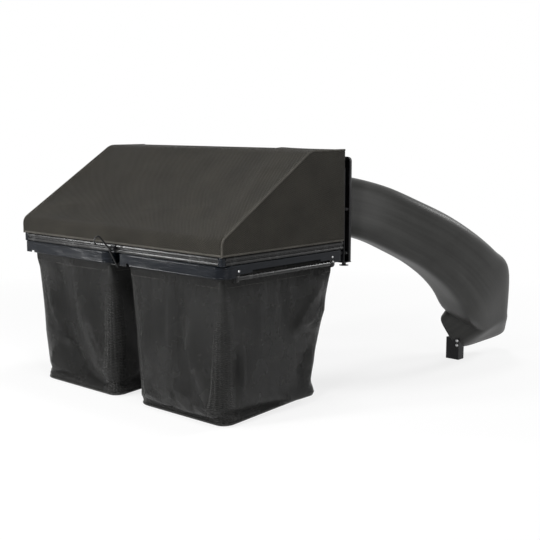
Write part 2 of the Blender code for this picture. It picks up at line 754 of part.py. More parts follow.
def chute_length(name, run, first, last):
    """One wall: the outer skin forwards, then the bore back."""
    shape = square_ring(RING_POINTS, CHUTE_CORNER)
    walls = run[first:last + 1]
    if last < len(run) - 1:
        walls[-1] = beside_seam(run, last, -SEAT / 2)
    bm = bmesh.new()
    if first > 0:
        walls[0] = beside_seam(run, first, SEAT / 2)
        rings = [station_ring(bm, station, shape, flare) for station, flare in walls]
        rings += [station_ring(bm, station, shape, flare - CHUTE_WALL) for station, flare in walls[::-1]]
    else:
        inlet = run[0][0]
        seat = [inlet[0] - Vector((0, CHUTE_WALL, 0))] + inlet[1:]
        rings = [station_ring(bm, inlet, shape, CHUTE_FLANGE)]
        rings += [station_ring(bm, station, shape, flare) for station, flare in walls]
        rings += [station_ring(bm, station, shape, flare - CHUTE_WALL) for station, flare in walls[:0:-1]]
        rings.append(station_ring(bm, seat, shape, -CHUTE_WALL))
        rings.append(station_ring(bm, seat, shape, CHUTE_FLANGE))
    skin(bm, rings, closed_run=True)
    return finish_mesh(name, bm, CHUTE_PLASTIC, smooth=40)


def beside_seam(run, number, shift):
    """The station at a seam, moved a little along the tube."""
    station, flare = run[number]
    ahead = (run[number + 1][0][0] - run[number - 1][0][0]).normalized()
    return [station[0] + ahead * shift] + station[1:], flare


def chute_envelope():
    """The chute's outer form as one solid, a little larger and past its mouth."""
    shape = square_ring(RING_POINTS, CHUTE_CORNER)
    run = chute_run()
    mouth = run[-1][0]
    past = (mouth[0] - run[-2][0][0]).normalized() * MOUTH_CLEAR
    run.append(([mouth[0] + past] + mouth[1:], SKIRT_FLARE))
    bm = bmesh.new()
    rings = [station_ring(bm, station, shape, flare + 2 * SEAT) for station, flare in run]
    skin(bm, rings)
    for ring, station in ((rings[0], run[0][0]), (rings[-1], run[-1][0])):
        middle = bm.verts.new(station[0])
        for here, there in zip(ring, ring[1:] + ring[:1]):
            bm.faces.new((here, there, middle))
    return finish_mesh("envelope", bm, None, CUTTERS)


def chute_opening_cutter():
    """The panel's opening is as large as the chute's own bore."""
    shape = square_ring(RING_POINTS, CHUTE_CORNER)
    outline = []
    for u, v in shape:
        x = CHUTE_X + u * (CHUTE_HALF_WIDTH - CHUTE_WALL)
        z = CHUTE_Z + v * (CHUTE_HALF_HEIGHT - CHUTE_WALL)
        outline.append((x, PANEL_Y - PANEL_SHEET * 2, z))
    return extruded("opening", outline, (0, 0, 0), (0, PANEL_SHEET * 4, 0), None, CUTTERS)


def bag_rim(name, side):
    low_x, high_x = rim_corner(side)
    band = RIM_TOP - RIM_BAND
    under = RIM_TOP - RIM_WALL
    profile = [
        (0, band),
        (0, RIM_TOP - RIM_EDGE),
        (RIM_EDGE, RIM_TOP),
        (RIM_CHANNEL - RIM_EDGE, RIM_TOP),
        (RIM_CHANNEL, RIM_TOP - RIM_EDGE),
        (RIM_CHANNEL, RIM_TOP - RIM_COLLAR),
        (RIM_CHANNEL - RIM_WALL, RIM_TOP - RIM_COLLAR),
        (RIM_CHANNEL - RIM_WALL, under),
        (RIM_WALL, under),
        (RIM_WALL, band),
    ]
    bm = bmesh.new()
    loops = []
    rounds = (RIM_ROUND, RIM_TIGHT, RIM_TIGHT, RIM_TIGHT)
    for inset, z in profile:
        path = ring_path(low_x, high_x, REAR_Y, RIM_FRONT_Y, inset, rounds)
        loops.append([bm.verts.new((x, y, z)) for x, y in path])
    skin(bm, loops, closed_run=True)
    made = finish_mesh(name, bm, RIM_PLASTIC, smooth=40)
    for cutter in rim_cutters(low_x, high_x):
        boolean(made, cutter)
    drill(made, grip_screw_points(side), (1, 0, 0), BOLT * SMALL + TURN)
    return made


def rim_cutters(low_x, high_x):
    """Rail notches in front, the handle's recess and the arch behind."""
    under = RIM_TOP - RIM_WALL - SEAT
    band = RIM_TOP - RIM_BAND
    through = RIM_WALL * 1.8
    reach = TUBE + RAIL_CLEAR
    cutters = []
    for number, x in enumerate((low_x + TUBE_INSET, high_x - TUBE_INSET)):
        low = (x - reach, RIM_FRONT_Y - through, RIM_TOP - RIM_COLLAR - OVER)
        high = (x + reach, RIM_FRONT_Y + OVER, under)
        cutters.append(box(f"rail_notch_{number}", low, high, None, home=CUTTERS))
    seat_z = grip_axis_z() + GRIP_END + SEAT
    low = (high_x - through, REAR_Y + GRIP_FROM - GRIP_CLEAR, band - OVER)
    high = (high_x + OVER, REAR_Y + GRIP_TO + GRIP_CLEAR, seat_z)
    cutters.append(box("grip_recess", low, high, None, home=CUTTERS))
    low = (low[0], REAR_Y + GRIP_FROM + GRIP_GAP_MARGIN, band - OVER)
    high = (high[0], REAR_Y + GRIP_TO - GRIP_GAP_MARGIN, grip_axis_z() + GRIP + GRIP_GAP)
    cutters.append(box("finger_recess", low, high, None, home=CUTTERS))
    centre = Vector((low_x + NOTCH_OFFSET, REAR_Y - OVER, band))
    outline = []
    for i in range(9):
        angle = math.pi * i / 8
        outline.append((NOTCH_WIDTH / 2 * math.cos(angle), 0, NOTCH_HEIGHT * math.sin(angle)))
    outline += [(-NOTCH_WIDTH / 2, 0, -OVER), (NOTCH_WIDTH / 2, 0, -OVER)]
    cutters.append(extruded("arch", outline, centre, (0, OVER + through, 0), None, CUTTERS))
    return cutters


def grip_axis_z():
    return RIM_TOP - GRIP_AXIS_DROP


def bag_handle(name, side):
    """The carrying bar, with round ends and a tab inside the rim's skirt."""
    low_x, high_x = rim_corner(side)
    x = high_x - GRIP_AXIS_INSET
    z = grip_axis_z()
    length = GRIP_TO - GRIP_FROM
    shoulder = GRIP_END_LENGTH * 0.7
    profile = [
        (0, 0),
        (GRIP_END * 0.85, 0),
        (GRIP_END, GRIP_CHAMFER),
        (GRIP_END, shoulder),
        (GRIP, GRIP_END_LENGTH),
        (GRIP, length - GRIP_END_LENGTH),
        (GRIP_END, length - shoulder),
        (GRIP_END, length - GRIP_CHAMFER),
        (GRIP_END * 0.85, length),
        (0, length),
    ]
    made = turned(name, profile, (x, REAR_Y + GRIP_FROM, z), (0, 1, 0), BLACK_STEEL, 16)
    tab_x = high_x - RIM_WALL - SEAT
    for number, y in enumerate(grip_tab_ys()):
        low = (tab_x - GRIP_TAB, y - GRIP_TAB_WIDTH / 2, z)
        high = (tab_x, y + GRIP_TAB_WIDTH / 2, z + GRIP_TAB_HEIGHT)
        boolean(made, box(f"tab_{number}", low, high, None, home=CUTTERS), "UNION")
    drill(made, grip_screw_points(side), (1, 0, 0), BOLT * SMALL + TURN)
    return made


def grip_screw_points(side):
    """On the rim's outer face, over the two ends of the handle."""
    z = grip_axis_z() + GRIP_SCREW_RISE
    return [(rim_corner(side)[1], y, z) for y in grip_tab_ys()]


def grip_screws(label, side):
    length = RIM_WALL + GRIP_TAB + 3 * SEAT
    for number, (x, y, z) in enumerate(grip_screw_points(side), 1):
        bolt(f"{label}_grip_screw_{number}", (x + SEAT, y, z), (1, 0, 0), length, size=SMALL)


def grip_tab_ys():
    inset = GRIP_TAB_WIDTH / 2
    return REAR_Y + GRIP_FROM + inset, REAR_Y + GRIP_TO - inset


def bag_levels():
    """Height, side inset, rear inset, front inset and corner radius, top to base."""
    start = CLOTH_INSET
    corner = RIM_INNER_ROUND + SEAT + CLOTH
    height = CLOTH_TOP - BAG_FLOOR - BAG_SIDE_TOP
    levels = [(z, start, start, start, corner) for z in (CLOTH_TOP, RIM_TOP - RIM_COLLAR - CLOTH)]
    for down in BAG_LEVELS:
        share = 1 - (1 - down) ** BAG_TAPER
        feet = (BAG_FLANK_INSET, BAG_REAR_INSET, BAG_FRONT_INSET)
        insets = [start + (foot - start) * share for foot in feet]
        turn = 1 - (1 - down) ** BAG_CORNER_TAPER
        levels.append((CLOTH_TOP - height * down, *insets, corner + (BAG_CORNER - corner) * turn))
    return levels


def bag_cloth(name, side):
    low_x, high_x = rim_corner(side)
    bm = bmesh.new()
    rings = []
    for z, flank, rear, front, corner in bag_levels():
        path = bag_path(low_x, high_x, flank, rear, front, corner)
        rings.append([bm.verts.new((x, y, z)) for x, y in path])
    flank, rear, front, corner = bag_levels()[-1][1:]
    for angle in (35, 65, 90):
        tuck = BAG_EDGE * (1 - math.cos(math.radians(angle)))
        lift = BAG_EDGE * (1 - math.sin(math.radians(angle)))
        path = bag_path(low_x, high_x, flank + tuck, rear + tuck, front + tuck, corner - tuck)
        rings.append([bm.verts.new((x, y, base_z(y) + lift)) for x, y in path])
    skin(bm, rings)
    bm.faces.new(rings[-1])
    made = finish_mesh(name, bm, BAG_MESH_CLOTH, smooth=50)
    shell = made.modifiers.new("cloth", "SOLIDIFY")
    shell.thickness = CLOTH
    shell.offset = -1
    shell.use_even_offset = True
    return made


def base_z(y):
    """The base of a bag rises towards the front."""
    rear, front = bag_levels()[-1][2:4]
    first = REAR_Y + rear + BAG_EDGE
    last = RIM_FRONT_Y - front - BAG_EDGE
    return BAG_FLOOR + BAG_BASE_RISE * (y - first) / (last - first)


def bag_path(low_x, high_x, flank, rear, front, corner):
    rounds = (corner,) * 4
    return ring_path(low_x + flank, high_x - flank, REAR_Y + rear, RIM_FRONT_Y - front, 0.0, rounds, 4)


def hook_place():
    """Middle of the bracket's section, at its foot."""
    return chute_place(*BOOT_MOUTH[1]) + Vector((-HOOK_LEFT, HOOK_AHEAD, -HOOK_DROP))


def hook_screw_points():
    corner = chute_place(*BOOT_MOUTH[1])
    back_y = hook_place().y - HOOK_DEPTH / 2
    return [(corner.x + HOOK_SCREW_X, back_y, corner.z + z) for z in HOOK_SCREW_Z]


def boot_bracket():
    """Steel channel under the boot's rear corner, cut to fit round the skirt."""
    half = HOOK_WIDTH / 2
    back = -HOOK_DEPTH / 2
    outline = [
        (-half, back, 0),
        (half, back, 0),
        (half, -back, 0),
        (half - HOOK_THICK, -back, 0),
        (half - HOOK_THICK, back + HOOK_THICK, 0),
        (HOOK_THICK - half, back + HOOK_THICK, 0),
        (HOOK_THICK - half, -back, 0),
        (-half, -back, 0),
    ]
    made = extruded("boot_bracket", outline, hook_place(), (0, 0, HOOK_DROP + HOOK_LAP), BLACK_STEEL)
    boolean(made, chute_envelope())
    drill(made, hook_screw_points(), (0, 1, 0), HOLE, 2 * HOOK_DEPTH)
    return made


def hook_screws():
    for number, (x, y, z) in enumerate(hook_screw_points(), 1):
        bolt(f"hook_screw_{number}", (x, y - SEAT, z), (0, -1, 0), HOOK_SCREW)


def hinge_bracket(name, side):
    """A plate bolted inside the post, with an eye round the hood's pivot tube."""
    outline = []
    for i in range(13):
        angle = math.pi * i / 12
        outline.append((EYE_RADIUS * math.cos(angle), EYE_RADIUS * math.sin(angle)))
    outline += [
        (0.0, -HINGE_DROP * 2 / 3),
        (HINGE_HEEL, -HINGE_DROP),
        (HINGE_ARM, -HINGE_DROP),
        (HINGE_ARM, -HINGE_SHOULDER),
        (HINGE_HEEL, -HINGE_SHOULDER),
        (EYE_RADIUS, -EYE_RADIUS),
    ]
    points = [(0, HINGE_Y + y, HINGE_Z + z) for y, z in outline]
    start = side * (POST_IN_X - SEAT)
    made = extruded(name, points, (start, 0, 0), (-side * EYE_THICK, 0, 0), BLACK_STEEL)
    axis = (1, 0, 0)
    drill(made, [(start, HINGE_Y, HINGE_Z)], axis, PIVOT_TUBE + TURN + SEAT, steps=24)
    drill(made, hinge_bolt_points(start), axis, HOLE)
    return made


def hinge_bolt_points(x):
    return [(x, HINGE_Y + HINGE_BOLT_Y, HINGE_Z + z) for z in HINGE_BOLT_Z]


def hinge_bolts():
    grip = EYE_THICK + POST_SHEET + 3 * SEAT
    for label, side in sides():
        points = hinge_bolt_points(side * (POST_IN_X - 2 * SEAT - EYE_THICK))
        for number, at in enumerate(points, 1):
            name = f"{label}_hinge_bolt_{number}"
            bolt(name, at, (-side, 0, 0), grip + NUT_THICK + BOLT_TIP, grip)


def hood_profile(inset):
    """Side view of the hood, as (y, z), inset from the cloth's outer face."""
    rear = REAR_Y - HOOD_OUT + inset
    top = HOOD_HEIGHT - inset
    front = HOOD_FRONT_Y - inset
    heel = RAIL_TOP + SEAT + HOOD_REAR_WALL
    slope = math.atan2(HOOD_HEIGHT - heel, HOOD_KNEE)
    heel_z = heel - inset * math.tan((math.pi / 2 - slope) / 2)
    knee_y = REAR_Y - HOOD_OUT + HOOD_KNEE + inset * math.tan(slope / 2)
    return rear, heel_z, knee_y, top, front


def hood_cover():
    rear, heel_z, knee_y, top, front = hood_profile(0.0)
    bottom = RAIL_TOP + SEAT
    corners = [(0, rear, bottom), (0, rear, heel_z), (0, knee_y, top), (0, front, top)]
    path = fillet(corners, (HOOD_HEEL_ROUND, HOOD_KNEE_ROUND), 4)
    out_x = HALF + HOOD_OUT
    bm = bmesh.new()
    left = [bm.verts.new((-out_x, point.y, point.z)) for point in path]
    right = [bm.verts.new((out_x, point.y, point.z)) for point in path]
    skin(bm, [left, right], closed_ring=False)
    for x, row in ((-out_x, left), (out_x, right)):
        bm.faces.new(row + [bm.verts.new((x, front, bottom))])
    bmesh.ops.recalc_face_normals(bm, faces=bm.faces)
    crease = []
    for edge in bm.edges:
        same_side = edge.verts[0].co.x * edge.verts[1].co.x > 0
        if same_side and len(edge.link_faces) == 2:
            crease.append(edge)
    round_edges(bm, crease, HOOD_CREASE, 2)
    made = finish_mesh("hood_cover", bm, HOOD_MESH_CLOTH, smooth=40)
    outward = sum((face.normal.z for face in made.data.polygons if face.center.z > top - SEAT), 0.0)
    shell = made.modifiers.new("cloth", "SOLIDIFY")
    shell.thickness = HOOD_CLOTH
    shell.offset = -1 if outward > 0 else 1
    shell.use_even_offset = True
    return made


def hood_hoop(name, side):
    """A bent side tube that carries the cloth, from the rear rail to the front."""
    inset = HOOD_CLOTH + SEAT + HOOP
    rear, heel_z, knee_y, top, front = hood_profile(inset)
    x = side * hoop_x()
    bottom = RAIL_TOP + SEAT
    path = [
        (x, rear, bottom),
        (x, rear, heel_z),
        (x, knee_y, top),
        (x, front, top),
        (x, front, bottom),
    ]
    bends = (HOOD_HEEL_ROUND - inset, HOOD_KNEE_ROUND - inset, HOOP_BEND)
    return tube(name, fillet(path, bends, 4), HOOP, RAIL_STEEL, 2)


def hoop_x():
    return HALF + HOOD_OUT - HOOD_CLOTH - 2 * SEAT - HOOP - HOOD_CREASE * HOOP_TUCK


def cross_tubes():
    end = hoop_x() - HOOP - SEAT
    rod("pivot_tube", (-end, HINGE_Y, HINGE_Z), (end, HINGE_Y, HINGE_Z), PIVOT_TUBE, RAIL_STEEL, 24)
    knee_y, top = hood_profile(HOOD_CLOTH + SEAT + HOOP)[2:4]
    y = knee_y + KNEE_TUBE_AHEAD
    rod("knee_tube", (-end, y, top), (end, y, top), HOOP, RAIL_STEEL, 12)


def rail_section():
    """Half of the double-bead outline, as (outwards, height) pairs, closed."""
    outline = []
    waist = math.asin(RAIL_WEB / 2 / BEAD_RADIUS)
    for centre, start in ((RAIL_LOWER_Z, math.pi / 2 + waist), (RAIL_UPPER_Z, -math.pi / 2 + waist)):
        for i in range(11):
            angle = start + (2 * math.pi - 2 * waist) * i / 10
            outline.append((BEAD_RADIUS * math.cos(angle), centre + BEAD_RADIUS * math.sin(angle)))
    return outline


def hood_rails():
    reach = HALF - CORNER_SIZE - SEAT
    middle = REAR_Y + BEAD_RADIUS
    outline = [(0, -out, z) for out, z in rail_section()]
    extruded("rear_rail", outline, (-reach, middle, 0), (2 * reach, 0, 0), RAIL_STEEL, smooth=35)
    first = REAR_Y + CORNER_SIZE + SEAT
    for label, side in sides():
        outline = [(side * out, 0, z) for out, z in rail_section()]
        start = (side * (HALF - BEAD_RADIUS), first, 0)
        run = (0, HOOD_FRONT_Y - first, 0)
        extruded(f"{label}_rail", outline, start, run, RAIL_STEEL, smooth=35)


def corner_piece(name, side):
    low_x, high_x = sorted((side * HALF, side * (HALF - CORNER_SIZE)))
    low = (low_x, REAR_Y, RAIL_BOTTOM)
    high = (high_x, REAR_Y + CORNER_SIZE, RAIL_TOP)
    return box(name, low, high, RIM_PLASTIC, CORNER_ROUND)


def latch_bracket():
    """A clip on the rear rail with two ears that hold the pin."""
    back = REAR_Y - SEAT
    pin_y = REAR_Y - LATCH_BACK
    low = (-LATCH_WIDTH / 2, back - LATCH_SHEET, RAIL_BOTTOM + LATCH_EDGE)
    high = (LATCH_WIDTH / 2, back, RAIL_TOP - LATCH_EDGE)
    made = box("latch_bracket", low, high, BLACK_STEEL)
    for number, side in enumerate((-1, 1)):
        outline = [(0, back - LATCH_SHEET / 2, LATCH_Z + LATCH_EAR)]
        for i in range(9):
            angle = math.pi / 2 + math.pi * i / 8
            outline.append((0, pin_y + LATCH_EAR * math.cos(angle), LATCH_Z + LATCH_EAR * math.sin(angle)))
        outline.append((0, back - LATCH_SHEET / 2, LATCH_Z - LATCH_EAR))
        start = (side * LATCH_EAR_GAP / 2, 0, 0)
        ear = extruded(f"ear_{number}", outline, start, (side * LATCH_SHEET, 0, 0), None, CUTTERS)
        boolean(made, ear, "UNION")
    drill(made, [(0, pin_y, LATCH_Z)], (1, 0, 0), PIN + TURN / 2, steps=16)
    return made


def latch_pin():
    reach = LATCH_EAR_GAP / 2 + LATCH_SHEET + SEAT
    end = reach + PIN_HEAD_THICK
    profile = [
        (0, -end),
        (PIN_HEAD, -end),
        (PIN_HEAD, -reach),
        (PIN, -reach),
        (PIN, reach),
        (PIN_HEAD, reach),
        (PIN_HEAD, end),
        (0, end),
    ]
    at = (0, REAR_Y - LATCH_BACK, LATCH_Z)
    return turned("latch_pin", profile, at, (1, 0, 0), ZINC, 16)


def coil_radius():
    return PIN + TURN + WIRE


def latch_wire():
    """Finger curl, shank, one turn round the pin, then the straight leg."""
    coil = coil_radius()
    pitch = 2 * WIRE + 2 * SEAT
    turns = math.radians(540) + LEG_ANGLE - COIL_START
    winding = []
    for i in range(COIL_STEPS + 1):
        share = i / COIL_STEPS
        angle = COIL_START + turns * share
        winding.append(Vector((pitch * (share - 0.5), coil * math.cos(angle), coil * math.sin(angle))))
    shank = Vector((0, math.sin(COIL_START), -math.cos(COIL_START)))
    crown = winding[0] + shank * HANDLE_LENGTH
    back = Vector((0, -1, 0))
    top = crown + (shank + back * HANDLE_LEAN) * HANDLE_EYE
    curl_centre = top + back * HANDLE_EYE - Vector((0, 0, HANDLE_EYE * 2))
    curl = []
    for i in range(CURL_STEPS + 1):
        angle = CURL_FROM - CURL_TURN * i / CURL_STEPS
        reach = Vector((0, math.cos(angle), math.sin(angle))) * HANDLE_EYE
        curl.append(curl_centre + reach)
    leg = Vector((0, math.sin(LEG_ANGLE), -math.cos(LEG_ANGLE)))
    path = curl + [top, crown] + winding + [winding[-1] + leg * LEG_LENGTH]
    pin = Vector((0, REAR_Y - LATCH_BACK, LATCH_Z))
    return tube("latch_wire", [pin + point for point in path], WIRE, RAIL_STEEL, 2)


def build():
    front_panel()
    hitch_plate()
    hitch_bolts()
    for label, side in sides():
        post(f"{label}_post", side)
        foot(f"{label}_foot", side)
        bag_rail(f"{label}_bag_rail", side)
        bag_rim(f"{label}_bag_rim", side)
        bag_cloth(f"{label}_bag_cloth", side)
        bag_handle(f"{label}_bag_handle", side)
        grip_screws(label, side)
        hinge_bracket(f"{label}_hinge_bracket", side)
        hood_hoop(f"{label}_hood_hoop", side)
        corner_piece(f"{label}_rail_corner", side)
    post_bolts()
    hinge_bolts()
    latch_catch()
    chute()
    chute_screws()
    boot_bracket()
    hook_screws()
    hood_cover()
    cross_tubes()
    hood_rails()
    latch_bracket()
    latch_pin()
    latch_wire()


build()
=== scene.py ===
import json
import math

import bmesh
import bpy
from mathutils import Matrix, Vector, noise


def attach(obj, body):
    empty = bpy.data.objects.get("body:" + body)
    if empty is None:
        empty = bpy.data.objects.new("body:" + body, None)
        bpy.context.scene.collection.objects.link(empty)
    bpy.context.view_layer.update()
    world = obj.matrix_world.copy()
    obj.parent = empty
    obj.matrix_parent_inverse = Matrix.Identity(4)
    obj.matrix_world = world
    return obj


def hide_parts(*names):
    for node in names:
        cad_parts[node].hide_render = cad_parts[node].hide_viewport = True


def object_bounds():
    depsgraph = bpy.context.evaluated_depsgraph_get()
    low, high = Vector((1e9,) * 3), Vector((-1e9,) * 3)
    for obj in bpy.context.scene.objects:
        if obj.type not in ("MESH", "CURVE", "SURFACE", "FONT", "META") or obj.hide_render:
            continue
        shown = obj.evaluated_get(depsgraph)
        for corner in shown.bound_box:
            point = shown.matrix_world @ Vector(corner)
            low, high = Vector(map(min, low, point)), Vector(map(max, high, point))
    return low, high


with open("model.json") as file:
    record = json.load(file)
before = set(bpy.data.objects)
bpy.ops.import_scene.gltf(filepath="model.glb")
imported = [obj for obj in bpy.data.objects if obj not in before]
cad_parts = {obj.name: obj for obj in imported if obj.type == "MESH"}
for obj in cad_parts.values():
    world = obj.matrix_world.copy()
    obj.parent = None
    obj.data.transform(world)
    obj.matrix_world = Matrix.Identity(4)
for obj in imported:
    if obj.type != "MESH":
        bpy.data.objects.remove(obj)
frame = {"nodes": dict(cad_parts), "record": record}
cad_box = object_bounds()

scene = bpy.context.scene
nodes = frame["nodes"]

# Sizes repeated from the part's source, in metres
WIDTH = 0.950
HALF = WIDTH / 2
DEPTH = 0.583
PANEL_Y = -0.0083
REAR_Y = PANEL_Y - DEPTH
SEAT = 0.0003
TURN = 0.0006
RAIL_TOP = 0.0125
RIM_TOP = -0.0148
RIM_GAP = 0.041
RIM_WIDTH = (WIDTH - RIM_GAP) / 2
RIM_FRONT_Y = PANEL_Y - 0.052
RIM_BAND = 0.036
RIM_ROUND = 0.038
CLOTH_TOP = RIM_TOP - 0.0252
CLOTH_INSET = 0.024
CLOTH_CORNER = 0.0115
BAG_FLOOR = -0.494
BAG_BASE_RISE = 0.024
BAG_EDGE = 0.014
BAG_SIDE_TOP = 0.045
BAG_FLANK_INSET = 0.032
BAG_REAR_INSET = 0.040
BAG_FRONT_INSET = 0.070
BAG_CORNER = 0.046
BAG_TAPER = 1.25
BAG_CORNER_TAPER = 3.5
HOOD_TOP = 0.299
HOOD_HEEL = RAIL_TOP + SEAT + 0.048
HOOD_KNEE_Y = REAR_Y - 0.0025 + 0.378
HOOD_REAR_Y = REAR_Y - 0.0025
HOOD_FRONT_Y = PANEL_Y - 0.047
HOOD_X = HALF + 0.0025
LATCH_AT = (REAR_Y - 0.0102, -0.001)
LATCH_PIN = 0.0024
LATCH_WIRE = 0.0026
LATCH_SHANK = 0.058
LATCH_CROOK = 0.0115
LATCH_LEG = 0.066
CHUTE_REACH = 0.900
CHUTE_X = HALF - 0.165
CHUTE_Z = 0.112
CHUTE_HALF = 0.098
CHUTE_WALL = 0.0035
CHUTE_FLANGE = 0.018
CHUTE_CORNER = 0.42
SKIRT_FLARE = 0.005

# Sizes of this script's own, in metres
HOOD_HEEL_RADIUS = 0.030
HOOD_KNEE_RADIUS = 0.060
HOOD_CLOTH_THICK = 0.0012
HOOD_CREASE_DROP = 0.0055
SLOPE_SAG = 0.0270
TOP_SAG = 0.0060
SLOPE_START = 0.060
SLOPE_END = 0.500
BAG_CLOTH_THICK = 0.0010
CLOTH_GROWTH = 0.010
CLOTH_FRAMES = 10
MOST_SHIFT = 0.020
FOLD_DEPTH = 1.75
STITCH_RADIUS = 0.0005
STITCH_GAP = 0.0022
LIP_RADIUS = 0.0021
FLOOR_REACH = 14.0


# Materials

class Graph:
    """Short names for building a material's nodes."""

    def __init__(self, name):
        self.material = bpy.data.materials.new(name)
        self.material.use_nodes = True
        self.tree = self.material.node_tree
        self.shader = self.tree.nodes["Principled BSDF"]

    def node(self, kind, **values):
        made = self.tree.nodes.new(kind)
        for key, value in values.items():
            setattr(made, key, value)
        return made

    def link(self, source, target):
        self.tree.links.new(source, target)

    def put(self, socket, value):
        if isinstance(value, bpy.types.NodeSocket):
            self.link(value, socket)
        else:
            socket.default_value = value

    def math(self, operation, a, b=None, c=None):
        made = self.node("ShaderNodeMath", operation=operation)
        for number, value in enumerate((a, b, c)):
            if value is not None:
                self.put(made.inputs[number], value)
        return made.outputs[0]

    def noise(self, vector, scale, detail=3.0, rough=0.5):
        made = self.node("ShaderNodeTexNoise")
        self.put(made.inputs["Vector"], vector)
        made.inputs["Scale"].default_value = scale
        made.inputs["Detail"].default_value = detail
        made.inputs["Roughness"].default_value = rough
        return made.outputs["Fac"]

    def ramp(self, value, low, high, to_low=0.0, to_high=1.0):
        made = self.node("ShaderNodeMapRange")
        made.clamp = True
        self.put(made.inputs["Value"], value)
        made.inputs["From Min"].default_value = low
        made.inputs["From Max"].default_value = high
        made.inputs["To Min"].default_value = to_low
        made.inputs["To Max"].default_value = to_high
        return made.outputs["Result"]

    def mix(self, share, a, b):
        made = self.node("ShaderNodeMix", data_type="RGBA")
        self.put(made.inputs[0], share)
        self.put(made.inputs[6], (*a, 1.0) if isinstance(a, tuple) else a)
        self.put(made.inputs[7], (*b, 1.0) if isinstance(b, tuple) else b)
        return made.outputs[2]

    def stretch(self, vector, scale):
        made = self.node("ShaderNodeMapping")
        self.put(made.inputs["Vector"], vector)
        made.inputs["Scale"].default_value = scale
        return made.outputs[0]

    def bump(self, height, distance, strength=1.0, under=None):
        made = self.node("ShaderNodeBump")
        self.put(made.inputs["Height"], height)
        made.inputs["Distance"].default_value = distance
        made.inputs["Strength"].default_value = strength
        if under is not None:
            self.link(under, made.inputs["Normal"])
        return made.outputs[0]

    def place(self):
        return self.node("ShaderNodeTexCoord").outputs["Object"]

    def uv(self):
        return self.node("ShaderNodeUVMap", uv_map="cloth").outputs["UV"]

    def finish(self, colour, roughness, normal=None, **fixed):
        self.put(self.shader.inputs["Base Color"], colour)
        self.put(self.shader.inputs["Roughness"], roughness)
        if normal is not None:
            self.link(normal, self.shader.inputs["Normal"])
        for key, value in fixed.items():
            self.shader.inputs[key.replace("_", " ")].default_value = value
        return self.material


def mesh_cloth(name, dark, light, pitch, rough, sheen, specular, contrast):
    """Open woven mesh: threads and holes on the cloth's own UV, in metres."""
    g = Graph(name)
    uv = g.uv()
    parts = g.node("ShaderNodeSeparateXYZ")
    g.link(uv, parts.inputs[0])
    wave = 2 * math.pi / pitch
    warp = g.math("SINE", g.math("MULTIPLY", parts.outputs[0], wave))
    weft = g.math("SINE", g.math("MULTIPLY", parts.outputs[1], wave))
    crossing = g.math("MULTIPLY", warp, weft)
    threads = g.ramp(crossing, -0.9, 0.9)
    slow = g.noise(uv, 9.0, 4.0, 0.55)
    yarn = g.noise(g.stretch(uv, (60.0, 900.0, 1.0)), 1.0, 2.0, 0.5)
    worn = g.ramp(slow, 0.32, 0.70)
    tone = g.math("MULTIPLY_ADD", threads, contrast, g.math("MULTIPLY", worn, 0.45))
    tone = g.math("MULTIPLY_ADD", yarn, 0.15, tone)
    colour = g.mix(g.ramp(tone, 0.0, contrast + 0.60), dark, light)
    roughness = g.ramp(slow, 0.2, 0.8, rough - 0.07, rough + 0.06)
    creases = g.bump(g.noise(uv, 30.0, 5.0, 0.62), 0.0035, 0.6)
    normal = g.bump(crossing, pitch * 0.30, 1.0, creases)
    return g.finish(colour, roughness, normal, Sheen_Weight=sheen, Sheen_Roughness=0.45,
                    Specular_IOR_Level=specular)


def satin_plastic():
    """Moulded chute: satin, with faint flow lines along the tube."""
    g = Graph("chute_plastic_fine")
    uv = g.uv()
    flow = g.noise(g.stretch(uv, (26.0, 1.1, 1.0)), 1.0, 3.0, 0.6)
    patch = g.noise(uv, 5.0, 4.0, 0.55)
    grain = g.noise(g.place(), 900.0, 2.0, 0.6)
    tone = g.math("MULTIPLY_ADD", flow, 0.7, g.math("MULTIPLY", patch, 0.5))
    colour = g.mix(g.ramp(tone, 0.35, 0.85), (0.020, 0.020, 0.019), (0.056, 0.056, 0.054))
    roughness = g.ramp(g.math("ADD", flow, g.math("MULTIPLY", grain, 0.25)), 0.3, 0.95, 0.34, 0.48)
    under = g.bump(flow, 0.0012, 0.35)
    normal = g.bump(grain, 0.00018, 0.6, under)
    return g.finish(colour, roughness, normal, Specular_IOR_Level=0.13)


def gloss_plastic():
    """Bag rims: glossy blue-black, with soft waves from the mould and fine rubs."""
    g = Graph("rim_plastic_fine")
    place = g.place()
    waves = g.noise(g.stretch(place, (7.0, 7.0, 26.0)), 1.0, 2.0, 0.5)
    rubs = g.noise(g.stretch(place, (30.0, 30.0, 420.0)), 1.0, 4.0, 0.6)
    colour = g.mix(g.ramp(rubs, 0.55, 0.80), (0.0020, 0.0032, 0.0054), (0.010, 0.0125, 0.018))
    roughness = g.ramp(rubs, 0.35, 0.75, 0.11, 0.24)
    under = g.bump(waves, 0.0035, 0.5)
    normal = g.bump(g.noise(place, 300.0, 2.0, 0.5), 0.00015, 0.4, under)
    return g.finish(colour, roughness, normal, Specular_IOR_Level=0.15, Coat_Weight=0.02, Coat_Roughness=0.05)


def painted_steel(name, colour, rough, peel):
    """Powder coat: orange peel, and a slightly rubbed tone."""
    g = Graph(name)
    place = g.place()
    skin = g.noise(place, 620.0, 2.0, 0.5)
    rubbed = g.noise(g.stretch(place, (40.0, 40.0, 12.0)), 1.0, 5.0, 0.6)
    lighter = tuple(c * 2.1 + 0.006 for c in colour)
    tone = g.mix(g.ramp(rubbed, 0.52, 0.78), colour, lighter)
    roughness = g.ramp(rubbed, 0.3, 0.8, rough - 0.05, rough + 0.12)
    normal = g.bump(skin, peel, 0.7)
    return g.finish(tone, roughness, normal, Specular_IOR_Level=0.17)


